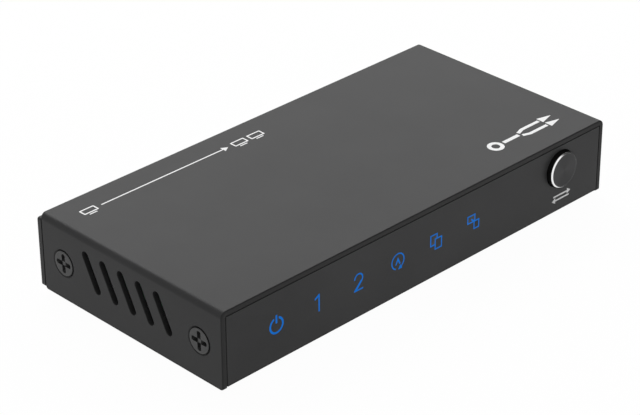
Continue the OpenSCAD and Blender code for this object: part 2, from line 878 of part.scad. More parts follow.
module switch_dome() {
    color([0.75, 0.72, 0.6])
    rod_y(plunger_r, dome_t, [button_x, switch_y + bore_l - dome_t, button_cz]);
}

module switch_bracket() {
    side = switch_w / 2 + bracket_t;
    color([0.7, 0.7, 0.72])
    difference() {
        block([button_x - side, switch_y, board_top],
            [button_x + side, switch_y + switch_l, switch_top + bracket_t]);
        block([button_x - switch_w / 2, switch_y - cut, board_top - cut],
            [button_x + switch_w / 2, switch_y + switch_l + cut, switch_top]);
    }
}

module splitter_chip() {
    color([0.05, 0.05, 0.055]) stand(chip, chip_x, chip_y, board_top);
}

module thermal_pad() {
    color([0.55, 0.6, 0.65]) stand(pad, chip_x, chip_y, board_top + chip.z);
}

module heat_sink() {
    z = board_top + chip.z + pad.z;
    pitch = (sink.x - fin_t) / (fin_count - 1);
    color([0.6, 0.6, 0.62])
    union() {
        stand([sink.x, sink.y, sink_base], chip_x, chip_y, z);
        for (i = [0 : fin_count - 1])
            stand([fin_t, sink.y, sink.z], chip_x + (fin_t - sink.x) / 2 + i * pitch, chip_y, z);
    }
}

module controller_chip() {
    color([0.05, 0.05, 0.055]) stand(controller, controller_x, controller_y, board_top);
}

module memory_chips() {
    color([0.05, 0.05, 0.055])
    for (x = socket_xs) stand(memory, x, mouth_y - socket_l - memory_gap - memory.y / 2, board_top);
}

module surge_arrays() {
    color([0.07, 0.07, 0.075])
    for (x = socket_xs, side = [-1, 1])
        stand(array, x + side * array_side, mouth_y - socket_l - array_gap - array.y / 2, board_top);
}

module regulator() {
    color([0.05, 0.05, 0.055])
    union() {
        stand(reg, reg_x, reg_y, board_top);
        stand([reg_tab.x, reg.y + 2 * reg_tab.y, reg_tab.z], reg_x, reg_y, board_top);
    }
}

module inductors() {
    color([0.2, 0.2, 0.2]) for (x = coil_xs) stand(coil, x, coil_y, board_top);
}

module bulk_capacitors() {
    color([0.75, 0.75, 0.77])
    for (x = can_xs) union() {
        stand(can_base, x, can_y, board_top);
        translate([x, can_y, board_top]) cylinder(d = can_d, h = can_h);
    }
}

module crystal() {
    color([0.75, 0.75, 0.77]) stand(crystal_size, crystal_x, crystal_y, board_top);
}

module passives() {
    color([0.6, 0.5, 0.35])
    for (i = [0 : small_cols - 1], j = [0 : small_rows - 1]) {
        stand(small, small_x2 + i * small_pitch, small_y2 + j * small_pitch, board_top);
        if (i < small_rows)
            stand(small, small_x + i * small_pitch, small_y + j * small_pitch, board_top);
    }
}

top_cover();
base_tray();
front_panel();
panel_adhesive();
icon_inlays();
light_guide();
status_lamps();
rubber_feet();
side_screws();
press_nuts();
circuit_board();
board_standoffs();
board_screws();
insulating_sheet();
input_shell();
input_insulator();
input_contacts();
output_1_shell();
output_1_insulator();
output_1_contacts();
output_2_shell();
output_2_insulator();
output_2_contacts();
power_shell();
power_insulator();
power_contacts();
button_cap();
switch_plunger();
switch_housing();
switch_bracket();
switch_dome();
splitter_chip();
thermal_pad();
heat_sink();
controller_chip();
memory_chips();
surge_arrays();
regulator();
inductors();
bulk_capacitors();
crystal();
passives();
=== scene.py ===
"""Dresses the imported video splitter: coated sheet metal, lit icons, sockets, prints and a white studio.

Lengths are in metres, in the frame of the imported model: +X along the front, +Y to the rear, +Z up.
"""

import json
import logging
import math
from dataclasses import dataclass, field
from enum import Enum
from typing import Callable, Iterable, Sequence

import bmesh
import bpy
from mathutils import Matrix, Vector


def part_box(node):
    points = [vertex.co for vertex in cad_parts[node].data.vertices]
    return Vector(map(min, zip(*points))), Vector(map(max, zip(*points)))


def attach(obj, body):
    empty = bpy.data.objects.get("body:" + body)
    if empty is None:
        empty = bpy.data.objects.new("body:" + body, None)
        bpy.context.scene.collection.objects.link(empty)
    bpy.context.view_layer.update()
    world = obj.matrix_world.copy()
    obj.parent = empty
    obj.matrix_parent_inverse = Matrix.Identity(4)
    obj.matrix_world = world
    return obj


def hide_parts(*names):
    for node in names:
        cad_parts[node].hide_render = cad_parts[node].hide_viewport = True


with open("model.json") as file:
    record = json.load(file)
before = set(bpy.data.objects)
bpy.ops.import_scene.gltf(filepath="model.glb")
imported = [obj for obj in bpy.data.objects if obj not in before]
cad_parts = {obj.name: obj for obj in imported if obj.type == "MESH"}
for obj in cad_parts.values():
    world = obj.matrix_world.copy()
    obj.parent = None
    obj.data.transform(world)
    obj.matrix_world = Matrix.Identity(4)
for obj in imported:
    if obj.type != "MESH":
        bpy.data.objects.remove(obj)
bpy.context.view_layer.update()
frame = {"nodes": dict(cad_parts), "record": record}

LOG = logging.getLogger("splitter")
MM = 0.001
# Points of a copied node that are closer than this are one point.
MERGE = 1e-6
# Faces that meet under the first angle are one face, and an edge over the second one is sharp.
FLAT = math.radians(0.5)
SHARP = math.radians(32)
# A length that is as good as none.
HAIR = 0.01 * MM
# Half the width of an arrow's head, as a share of its length.
ARROW_SPREAD = 0.62
# A noise's middle, the range that most of its values lie in, and its detail where it is finer.
NOISE_MIDDLE = 0.5
NOISE_RANGE = (0.3, 0.7)
FINER = 3.0
WHITE = (1.0, 1.0, 1.0, 1.0)

Colour = tuple[float, float, float]
Point = tuple[float, float]
Outline = list[Point]


class Body(Enum):
    """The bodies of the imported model."""

    CASE = "case"
    BUTTON = "button"


class Axis(Enum):
    """An axis of the frame."""

    X = 0
    Y = 1
    Z = 2

    def point(self, angle: float, radius: float, along: float) -> Vector:
        """Gives the point at an angle and a radius about this axis.

        Args:
            angle: Turn about the axis, in radians.
            radius: Distance from the axis.
            along: Place along the axis.

        Returns:
            The point.
        """
        first, second = (i for i in range(3) if i != self.value)
        point = Vector((0.0, 0.0, 0.0))
        point[self.value] = along
        point[first] = radius * math.cos(angle)
        point[second] = radius * math.sin(angle)
        return point


class Wire:
    """An output socket of a shader tree that takes part in Python expressions."""

    def __init__(self, graph: "Graph", socket: bpy.types.NodeSocket) -> None:
        """Keeps the tree and the socket."""
        self.graph = graph
        self.socket = socket

    def sibling(self, name: str) -> "Wire":
        """Gives another output of the same node."""
        return Wire(self.graph, Graph.find(self.socket.node.outputs, name))

    def __add__(self, other: "Wire | float") -> "Wire":
        """Adds."""
        return self.graph.maths("ADD", self, other)

    def __sub__(self, other: "Wire | float") -> "Wire":
        """Takes the other away."""
        return self.graph.maths("SUBTRACT", self, other)

    def __rsub__(self, other: float) -> "Wire":
        """Is taken away from a number."""
        return self.graph.maths("SUBTRACT", other, self)

    def __mul__(self, other: "Wire | float") -> "Wire":
        """Multiplies."""
        return self.graph.maths("MULTIPLY", self, other)

    __radd__ = __add__
    __rmul__ = __mul__

    def step(self, low: float, high: float) -> "Wire":
        """Rises smoothly from 0 at the low value to 1 at the high value."""
        return self.graph.node("ShaderNodeMapRange", {"interpolation_type": "SMOOTHSTEP"},
                               {"Value": self, "From Min": low, "From Max": high})

    def mean(self, other: "Wire") -> "Wire":
        """Gives the mean with another value."""
        return self * 0.5 + other * 0.5

    def about(self, base: float, spread: float) -> "Wire":
        """Moves a noise so that it lies about a base, with a spread."""
        return (self - NOISE_MIDDLE) * spread + base


class Graph:
    """A shader tree that nodes are added to."""

    def __init__(self, tree: bpy.types.NodeTree) -> None:
        """Keeps the tree."""
        self.tree = tree

    @staticmethod
    def find(sockets: Iterable[bpy.types.NodeSocket], key: "str | int") -> bpy.types.NodeSocket:
        """Finds a socket by its place, identifier or name.

        Args:
            sockets: The sockets of a node's one side.
            key: The place, identifier or name.

        Returns:
            The socket.
        """
        if isinstance(key, int):
            return list(sockets)[key]
        return next(s for s in sockets if key in (s.identifier, s.name))

    def plug(self, node: bpy.types.Node, inputs: dict) -> None:
        """Sets or links the inputs of a node.

        Args:
            node: The node.
            inputs: Values or wires by the sockets' names or places.
        """
        for key, value in inputs.items():
            socket = self.find(node.inputs, key)
            if isinstance(value, Wire):
                self.tree.links.new(value.socket, socket)
            else:
                socket.default_value = value

    def node(self, kind: str, settings: dict | None = None, inputs: dict | None = None) -> Wire:
        """Adds a node.

        Args:
            kind: The node's type.
            settings: The node's own settings, which are set first.
            inputs: Values or wires by the sockets' names or places.

        Returns:
            The node's first output that is in use.
        """
        node = self.tree.nodes.new(kind)
        for name, value in (settings or {}).items():
            setattr(node, name, value)
        self.plug(node, inputs or {})
        return Wire(self, next(s for s in node.outputs if s.enabled))

    def maths(self, operation: str, *values: "Wire | float") -> Wire:
        """Adds a Math node for one operation on values."""
        return self.node("ShaderNodeMath", {"operation": operation}, dict(enumerate(values)))

    def mix(self, factor: Wire, first: "Wire | Colour", second: "Wire | Colour") -> Wire:
        """Mixes two colours by a factor.

        Args:
            factor: The second colour's share.
            first: The first colour.
            second: The second colour.

        Returns:
            The mixed colour.
        """
        sides = [x if isinstance(x, Wire) else (*x, 1.0) for x in (first, second)]
        return self.node("ShaderNodeMix", {"data_type": "RGBA"},
                         {"Factor_Float": factor, "A_Color": sides[0], "B_Color": sides[1]})

    def place(self) -> Wire:
        """Gives the X output of the object's coordinates, whose siblings are Y and Z."""
        coordinates = self.node("ShaderNodeTexCoord").sibling("Object")
        return self.node("ShaderNodeSeparateXYZ", None, {0: coordinates})

    def noise(self, grain: float, stretch: Colour = (1.0, 1.0, 1.0), detail: float = 2.0) -> Wire:
        """Adds noise on the object's coordinates.

        Args:
            grain: Size of the noise's features.
            stretch: Scale of the coordinates along each axis before the noise.
            detail: Number of finer layers.

        Returns:
            The noise's value, around 0.5.
        """
        coordinates = self.node("ShaderNodeTexCoord").sibling("Object")
        turned = self.node("ShaderNodeVectorMath", {"operation": "MULTIPLY"}, {0: coordinates, 1: stretch})
        return self.node("ShaderNodeTexNoise", None,
                         {"Vector": turned, "Scale": 1.0 / grain, "Detail": detail})

    def bump(self, height: Wire, depth: float, strength: float) -> Wire:
        """Turns a height into a normal."""
        return self.node("ShaderNodeBump", None,
                         {"Height": height, "Distance": depth, "Strength": strength})

    def surface(self, **inputs: "Wire | float | tuple") -> None:
        """Sets the inputs of the tree's surface shader, with _ for the spaces in their names."""
        shader = next(n for n in self.tree.nodes if n.type == "BSDF_PRINCIPLED")
        self.plug(shader, {name.replace("_", " "): value for name, value in inputs.items()})


_MADE: dict["Finish", bpy.types.Material] = {}


def shaded(colour: Colour, share: float) -> Colour:
    """Multiplies a colour by a share."""
    return tuple(c * share for c in colour)


@dataclass(frozen=True)
class Finish:
    """A named finish. Its material is built once."""

    name: str

    def material(self) -> bpy.types.Material:
        """Gives the material of this finish.

        Returns:
            The material, which is the same one at each call.
        """
        if self not in _MADE:
            made = bpy.data.materials.new(self.name)
            made.use_nodes = True
            self.paint(Graph(made.node_tree))
            _MADE[self] = made
        return _MADE[self]

    def paint(self, graph: Graph) -> None:
        """Builds the material's nodes."""
        raise NotImplementedError


@dataclass(frozen=True)
class Band:
    """A strip of a coat across one axis where painted shade multiplies its colour by a share."""

    axis: Axis
    centre: float
    half: float
    shade: float
    core: float = 0.3


@dataclass(frozen=True)
class Coat(Finish):
    """Matte powder coat on sheet metal: a fine grain, faint clouds, and darker bands of painted shade along
    its cut edges.
    """

    colour: Colour
    bands: tuple[Band, ...] = ()
    rough: float = 0.4
    rough_spread: float = 0.16
    specular: float = 0.135
    grain: float = 0.16 * MM
    cloud: float = 14 * MM
    uneven: float = 0.1
    relief: float = 0.012 * MM
    relief_share: float = 0.35

    def paint(self, graph: Graph) -> None:
        """Builds the material's nodes.

        Args:
            graph: The material's tree.
        """
        fine = graph.noise(self.grain)
        tone = fine.mean(graph.noise(self.cloud, detail=FINER))
        dark, light = shaded(self.colour, 1.0 - self.uneven), shaded(self.colour, 1.0 + self.uneven)
        colour = graph.mix(tone.step(*NOISE_RANGE), dark, light)
        place = graph.place()
        # Each band paints shade into the colour, in a strip along an edge.
        for band in self.bands:
            away = graph.maths("ABSOLUTE", place.sibling(band.axis.name) - band.centre)
            near = 1.0 - away.step(band.core * band.half, band.half)
            colour = graph.mix(near, colour, shaded(self.colour, band.shade))
        graph.surface(Base_Color=colour, Roughness=fine.about(self.rough, self.rough_spread),
                      Specular_IOR_Level=self.specular,
                      Normal=graph.bump(fine, self.relief, self.relief_share))


@dataclass(frozen=True)
class Metal(Finish):
    """Bare or plated metal with fine brush marks along one axis."""

    colour: Colour
    rough: float
    rough_spread: float = 0.2
    stretch: Colour = (1.0, 0.04, 1.0)
    grain: float = 0.1 * MM
    cloud: float = 3 * MM
    dull: float = 0.82
    relief: float = 0.004 * MM
    relief_share: float = 0.3

    def paint(self, graph: Graph) -> None:
        """Builds the material's nodes.

        Args:
            graph: The material's tree.
        """
        brush = graph.noise(self.grain, self.stretch)
        tone = brush.mean(graph.noise(self.cloud)).step(*NOISE_RANGE)
        graph.surface(Base_Color=graph.mix(tone, shaded(self.colour, self.dull), self.colour),
                      Metallic=1.0, Roughness=brush.about(self.rough, self.rough_spread),
                      Normal=graph.bump(brush, self.relief, self.relief_share))


@dataclass(frozen=True)
class Blackened(Finish):
    """Blackened steel of a screw, a little worn in patches."""

    colour: Colour
    rough: float = 0.42
    rough_spread: float = 0.2
    metallic: float = 0.25
    grain: float = 0.12 * MM
    cloud: float = 1.1 * MM
    worn: float = 1.35
    worn_range: Point = (0.45, 0.75)
    relief: float = 0.006 * MM
    relief_share: float = 0.3

    def paint(self, graph: Graph) -> None:
        """Builds the material's nodes.

        Args:
            graph: The material's tree.
        """
        grain = graph.noise(self.grain)
        patch = graph.noise(self.cloud, detail=FINER).step(*self.worn_range)
        graph.surface(Base_Color=graph.mix(patch, self.colour, shaded(self.colour, self.worn)),
                      Metallic=self.metallic, Roughness=grain.about(self.rough, self.rough_spread),
                      Normal=graph.bump(grain, self.relief, self.relief_share))


@dataclass(frozen=True)
class Moulded(Finish):
    """Moulded plastic, rubber, ceramic or resin: even colour with a fine speckle."""

    colour: Colour
    rough: float
    grain: float = 0.25 * MM
    relief: float = 0.008 * MM
    relief_share: float = 0.35
    rough_spread: float = 0.16
    speckle: float = 0.86

    def paint(self, graph: Graph) -> None:
        """Builds the material's nodes.

        Args:
            graph: The material's tree.
        """
        grain = graph.noise(self.grain, detail=FINER)
        tone = grain.step(*NOISE_RANGE)
        graph.surface(Base_Color=graph.mix(tone, shaded(self.colour, self.speckle), self.colour),
                      Roughness=grain.about(self.rough, self.rough_spread),
                      Normal=graph.bump(grain, self.relief, self.relief_share))


@dataclass(frozen=True)
class Clear(Finish):
    """Clear plastic with faint flow marks."""

    colour: Colour
    rough: float
    clearness: float
    rough_spread: float = 0.1
    refraction: float = 1.49
    grain: float = 4 * MM
    streak: float = 0.92

    def paint(self, graph: Graph) -> None:
        """Builds the material's nodes.

        Args:
            graph: The material's tree.
        """
        flow = graph.noise(self.grain, detail=FINER)
        graph.surface(Base_Color=graph.mix(flow, shaded(self.colour, self.streak), self.colour),
                      Roughness=flow.about(self.rough, self.rough_spread),
                      Transmission_Weight=self.clearness, IOR=self.refraction)


@dataclass(frozen=True)
class LitIcon(Finish):
    """Blue translucent inlay lit from behind, a little brighter at its mid height."""

    colour: Colour
    glow: Colour
    centre_z: float
    reach: float = 2.2 * MM
    grain: float = 1.6 * MM
    patch_share: float = 0.4
    edge_colour: float = 0.7
    edge_glow: float = 0.8
    rough: float = 0.5
    specular: float = 0.05

    def paint(self, graph: Graph) -> None:
        """Builds the material's nodes.

        Args:
            graph: The material's tree.
        """
        height = graph.place().sibling("Z")
        away = graph.maths("ABSOLUTE", height - self.centre_z)
        patch = graph.noise(self.grain)
        level = (1.0 - away.step(0.0, self.reach)) * (1.0 - self.patch_share) + patch * self.patch_share
        graph.surface(Base_Color=graph.mix(level, shaded(self.colour, self.edge_colour), self.colour),
                      Roughness=self.rough, Specular_IOR_Level=self.specular, Emission_Strength=1.0,
                      Emission_Color=graph.mix(level, shaded(self.glow, self.edge_glow), self.glow))


@dataclass(frozen=True)
class SolderMask(Finish):
    """Green solder mask with lighter copper tracks under it. Track sizes are shares of the pitch."""

    colour: Colour
    track: Colour
    pitch: float = 1.2 * MM
    track_width: float = 0.12
    track_length: float = 6.0
    row_shift: float = 0.35
    squash: float = 0.6
    rough: float = 0.35
    relief: float = 0.02 * MM
    relief_share: float = 0.5

    def paint(self, graph: Graph) -> None:
        """Builds the material's nodes.

        Args:
            graph: The material's tree.
        """
        coordinates = graph.node("ShaderNodeTexCoord").sibling("Object")
        bricks = graph.node("ShaderNodeTexBrick", {"offset": self.row_shift, "squash": self.squash},
                            {"Vector": coordinates, "Scale": 1.0,
                             "Mortar Size": self.track_width * self.pitch,
                             "Brick Width": self.track_length * self.pitch, "Row Height": self.pitch})
        tracks = bricks.sibling("Fac")
        graph.surface(Base_Color=graph.mix(tracks, self.colour, self.track), Roughness=self.rough,
                      Normal=graph.bump(tracks, self.relief, self.relief_share))


@dataclass(frozen=True)
class Anodised(Finish):
    """Turned and black anodised button: a turned face with a painted sheen of two bright and two dark
    sectors, a bright cut chamfer around it and a dark side.
    """

    face: Colour
    side: Colour
    bright: Colour
    centre_x: float
    centre_z: float
    face_y: float
    chamfer_inner: float
    chamfer_depth: float
    slack: float = 0.015 * MM
    ring_pitch: float = 0.11 * MM
    ring_rough: float = 0.02
    # Share and turn of the painted sheen's two bright and two dark sectors on the face.
    sheen_share: float = 0.3
    sheen_lean: float = math.radians(5)
    grain: float = 0.15 * MM
    grain_share: float = 0.5
    uneven: float = 0.18
    rough: float = 0.45
    polish: float = 0.25
    specular: float = 0.12
    relief: float = 0.003 * MM
    relief_share: float = 0.25

    def paint(self, graph: Graph) -> None:
        """Builds the material's nodes.

        Args:
            graph: The material's tree.
        """
        place = graph.place()
        across, depth, height = place - self.centre_x, place.sibling("Y"), place.sibling("Z") - self.centre_z
        radius = graph.maths("SQRT", across * across + height * height)
        outside = radius.step(self.chamfer_inner - self.slack, self.chamfer_inner + self.slack)
        back = self.face_y + self.chamfer_depth
        front = 1.0 - depth.step(back - self.slack, back + self.slack)
        chamfer = outside * front
        rings = graph.maths("SINE", radius * (2 * math.pi / self.ring_pitch))
        turn = graph.maths("ARCTAN2", height, across)
        # Painted sheen: two bright and two dark sectors around the face, put into its colour in place of the
        # highlights of a turned face.
        painted_sheen = graph.maths("COSINE", (turn - self.sheen_lean) * 2.0)
        grain = graph.noise(self.grain)
        level = painted_sheen * self.sheen_share + (grain - NOISE_MIDDLE) * self.grain_share + 0.5
        dark, light = shaded(self.face, 1.0 - self.uneven), shaded(self.face, 1.0 + self.uneven)
        face = graph.mix(level.step(0.0, 1.0), dark, light)
        graph.surface(Base_Color=graph.mix(chamfer, graph.mix(front, self.side, face), self.bright),
                      Metallic=chamfer, Specular_IOR_Level=self.specular,
                      Roughness=self.rough - chamfer * self.polish + rings * self.ring_rough,
                      Normal=graph.bump(rings.mean(grain), self.relief, self.relief_share))


@dataclass(frozen=True)
class Ink(Finish):
    """Screen-printed ink with a slightly uneven cover."""

    colour: Colour
    rough: float = 0.55
    rough_spread: float = 0.2
    grain: float = 0.3 * MM
    thin: float = 0.88
    thin_range: Point = (0.2, 0.6)
    relief: float = 0.004 * MM
    relief_share: float = 0.3

    def paint(self, graph: Graph) -> None:
        """Builds the material's nodes.

        Args:
            graph: The material's tree.
        """
        cover = graph.noise(self.grain, detail=FINER)
        tone = cover.step(*self.thin_range)
        graph.surface(Base_Color=graph.mix(tone, shaded(self.colour, self.thin), self.colour),
                      Roughness=cover.about(self.rough, self.rough_spread),
                      Normal=graph.bump(cover, self.relief, self.relief_share))


@dataclass(frozen=True)
class Span:
    """The box of one CAD node at rest."""

    low: Vector
    high: Vector

    @classmethod
    def of(cls, node: str) -> "Span":
        """Reads a node's box from the frame."""
        return cls(*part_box(node))

    @property
    def centre(self) -> Vector:
        """Middle of the box."""
        return (self.low + self.high) / 2

    @property
    def size(self) -> Vector:
        """Lengths of the box's sides."""
        return self.high - self.low


def as_piece(name: str, bm: bmesh.types.BMesh) -> bpy.types.Object:
    """Makes an object of the scene from a mesh under construction.

    Args:
        name: Name of the piece.
        bm: The mesh, which is freed.

    Returns:
        The new object.
    """
    bmesh.ops.recalc_face_normals(bm, faces=bm.faces)
    mesh = bpy.data.meshes.new(name)
    bm.to_mesh(mesh)
    bm.free()
    piece = bpy.data.objects.new(name, mesh)
    bpy.context.scene.collection.objects.link(piece)
    return piece


def loft(bm: bmesh.types.BMesh, rings: Sequence[Sequence[Vector]], closed: bool = False) -> None:
    """Joins rings of points into a closed surface.

    Args:
        bm: The mesh under construction.
        rings: Rings with equal numbers of points.
        closed: Whether the last ring joins the first, in place of two caps.
    """
    rows = [[bm.verts.new(p) for p in ring] for ring in rings]
    pairs = list(zip(rows, rows[1:])) + ([(rows[-1], rows[0])] if closed else [])
    count = len(rows[0])
    for low, high in pairs:
        for i in range(count):
            j = (i + 1) % count
            bm.faces.new((low[i], low[j], high[j], high[i]))
    if not closed:
        bm.faces.new(rows[0])
        bm.faces.new(rows[-1])


def turned(bm: bmesh.types.BMesh, axis: Axis, profile: Sequence[Point], steps: int, origin: Vector) -> None:
    """Turns a profile about an axis into a solid with flat ends.

    Args:
        bm: The mesh under construction.
        axis: The axis of the turning.
        profile: Radius and place along the axis of each ring.
        steps: Number of points around.
        origin: Point that the axis passes through.
    """
    angles = [2 * math.pi * i / steps for i in range(steps)]
    loft(bm, [[origin + axis.point(a, r, along) for a in angles] for r, along in profile])


def settle(piece: bpy.types.Object) -> None:
    """Replaces a piece's mesh by the result of its modifiers, and removes these.

    Args:
        piece: The piece.
    """
    graph = bpy.context.evaluated_depsgraph_get()
    mesh = bpy.data.meshes.new_from_object(piece.evaluated_get(graph), depsgraph=graph)
    piece.modifiers.clear()
    old, piece.data = piece.data, mesh
    mesh.name = piece.name
    bpy.data.meshes.remove(old)


def carve(piece: bpy.types.Object, tool: bpy.types.Object, operation: str = "DIFFERENCE") -> None:
    """Cuts a tool's shape out of a piece, or joins it on, and removes the tool.

    Args:
        piece: The piece to change.
        tool: The shape to cut or join.
        operation: The Boolean modifier's operation.
    """
    cut = piece.modifiers.new("carve", "BOOLEAN")
    cut.operation, cut.object, cut.solver = operation, tool, "EXACT"
    settle(piece)
    bpy.data.objects.remove(tool)


@dataclass(frozen=True)
class Rounding:
    """A rounding of the sharp edges that a test picks."""

    width: float
    steps: int = 2
    pick: Callable[[bmesh.types.BMEdge], bool] = lambda edge: True


def softened(node: str, name: str, *roundings: Rounding) -> bpy.types.Object:
    """Copies a CAD node with sharp edges rounded.

    Args:
        node: The CAD node.
        name: Name of the new piece.
        roundings: The roundings, in the order of their making.

    Returns:
        The new piece.
    """
    bm = bmesh.new()
    bm.from_mesh(frame["nodes"][node].data)
    bmesh.ops.remove_doubles(bm, verts=bm.verts, dist=MERGE)
    bmesh.ops.dissolve_limit(bm, angle_limit=FLAT, verts=bm.verts, edges=bm.edges)
    for rounding in roundings:
        sharp = [e for e in bm.edges if len(e.link_faces) == 2 and e.calc_face_angle(0.0) > SHARP]
        picked = [e for e in sharp if rounding.pick(e)]
        bmesh.ops.bevel(bm, geom=picked, offset=rounding.width, offset_type="OFFSET",
                        segments=rounding.steps, profile=0.5, affect="EDGES", clamp_overlap=True)
    return as_piece(name, bm)


def smooth(piece: bpy.types.Object) -> None:
    """Shades a piece smoothly, with sharp edges kept and large faces flat.

    Args:
        piece: The piece.
    """
    piece.data.shade_smooth()
    piece.data.set_sharp_from_angle(angle=SHARP)
    even = piece.modifiers.new("even_shading", "WEIGHTED_NORMAL")
    even.keep_sharp = True


def dress(piece: bpy.types.Object, finish: Finish, body: Body, slot: str | None, *nodes: str) -> None:
    """Finishes a piece: its material, its body and the CAD nodes that it stands for.

    Args:
        piece: The piece.
        finish: Its finish.
        body: The body that it rides on.
        slot: Not used.
        nodes: The CAD nodes that it replaces.
    """
    piece.data.materials.clear()
    piece.data.materials.append(finish.material())
    smooth(piece)
    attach(piece, body.value)
    if nodes:
        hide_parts(*nodes)
    LOG.info("%s: %d faces, on %s", piece.name, len(piece.data.polygons), body.value)


@dataclass(frozen=True)
class Row:
    """A straight row of copies of a pattern."""

    count: int
    start: Vector
    step: Vector
    turn: Vector = field(default_factory=lambda: Vector((0.0, 0.0, 0.0)))


class Copies:
    """A Geometry Nodes tree that sets copies of a pattern along straight rows."""

    def __init__(self, name: str, rows: Sequence[Row]) -> None:
        """Builds the tree.

        Args:
            name: Name of the tree and of its result.
            rows: The rows.
        """
        self.name = name
        self.rows = rows
        self.tree = bpy.data.node_groups.new(name, "GeometryNodeTree")
        self.tree.interface.new_socket("Geometry", in_out="OUTPUT", socket_type="NodeSocketGeometry")
        self.values: dict[str, object] = {}
        self.inputs = self.tree.nodes.new("NodeGroupInput")
        self._build()

    def _input(self, name: str, kind: str, value: object = None) -> bpy.types.NodeSocket:
        """Adds a named input to the tree.

        Args:
            name: Name of the input.
            kind: Type of its socket.
            value: Its value, where it is known already.

        Returns:
            The socket that gives the input inside the tree.
        """
        made = self.tree.interface.new_socket(name, in_out="INPUT", socket_type=kind)
        self.values[made.identifier] = value
        return next(s for s in self.inputs.outputs if s.identifier == made.identifier)

    def _build(self) -> None:
        """Adds the tree's nodes: a line of points, copies and joining for each row."""
        new, link = self.tree.nodes.new, self.tree.links.new
        pattern = new("GeometryNodeObjectInfo")
        pattern.inputs["As Instance"].default_value = True
        self.pattern = self._input("Pattern", "NodeSocketObject")
        self.finish = self._input("Finish", "NodeSocketMaterial")
        link(self.pattern, pattern.inputs["Object"])
        join = new("GeometryNodeJoinGeometry")
        for number, row in enumerate(self.rows, 1):
            line = new("GeometryNodeMeshLine")
            line.mode, line.count_mode = "OFFSET", "TOTAL"
            turn = new("FunctionNodeEulerToRotation")
            for name, kind, value, target in (
                    ("count", "NodeSocketInt", row.count, line.inputs["Count"]),
                    ("start", "NodeSocketVector", row.start, line.inputs["Start Location"]),
                    ("step", "NodeSocketVector", row.step, line.inputs["Offset"]),
                    ("turn", "NodeSocketVector", row.turn, turn.inputs[0])):
                link(self._input(f"Row {number} {name}", kind, value), target)
            copies = new("GeometryNodeInstanceOnPoints")
            link(line.outputs["Mesh"], copies.inputs["Points"])
            link(pattern.outputs["Geometry"], copies.inputs["Instance"])
            link(turn.outputs[0], copies.inputs["Rotation"])
            link(copies.outputs["Instances"], join.inputs[0])
        real, paint, out = (new(k) for k in ("GeometryNodeRealizeInstances", "GeometryNodeSetMaterial",
                                             "NodeGroupOutput"))
        link(join.outputs[0], real.inputs[0])
        link(real.outputs[0], paint.inputs["Geometry"])
        link(self.finish, paint.inputs["Material"])
        link(paint.outputs[0], out.inputs[0])

    def make(self, pattern: bpy.types.Object, finish: Finish) -> bpy.types.Object:
        """Runs the tree and turns its result into a plain mesh.

        Args:
            pattern: The shape to copy, which is removed afterwards.
            finish: The copies' finish.

        Returns:
            The piece that holds all the copies.
        """
        piece = as_piece(self.name, bmesh.new())
        self.values[self.pattern.identifier] = pattern
        self.values[self.finish.identifier] = finish.material()
        tree = piece.modifiers.new("copies", "NODES")
        tree.node_group = self.tree
        for identifier, value in self.values.items():
            tree[identifier] = value
        settle(piece)
        bpy.data.objects.remove(pattern)
        return piece


def arc(centre: Point, radius: float, start: float, end: float, steps: int) -> Outline:
    """Gives the points of an arc.

    Args:
        centre: The arc's centre.
        radius: Its radius.
        start: Angle of its first point, in degrees.
        end: Angle of its last point, in degrees.
        steps: Number of parts.

    Returns:
        The points.
    """
    angles = [math.radians(start + (end - start) * i / steps) for i in range(steps + 1)]
    return [(centre[0] + radius * math.cos(a), centre[1] + radius * math.sin(a)) for a in angles]


def quarter(steps: int) -> list[Point]:
    """Follows a quarter round of radius 1 from its foot upwards.

    Args:
        steps: Number of parts.

    Returns:
        1 less the cosine and 1 less the sine of the angle at each step.
    """
    turns = [0.5 * math.pi * i / steps for i in range(steps + 1)]
    return [(1.0 - math.cos(turn), 1.0 - math.sin(turn)) for turn in turns]


def slab(bm: bmesh.types.BMesh, low: Vector, high: Vector) -> None:
    """Adds a box by its corners.

    Args:
        bm: The mesh under construction.
        low: The lowest corner.
        high: The highest corner.
    """
    ring = [(low.x, low.y), (high.x, low.y), (high.x, high.y), (low.x, high.y)]
    loft(bm, [[Vector((x, y, z)) for x, y in ring] for z in (low.z, high.z)])


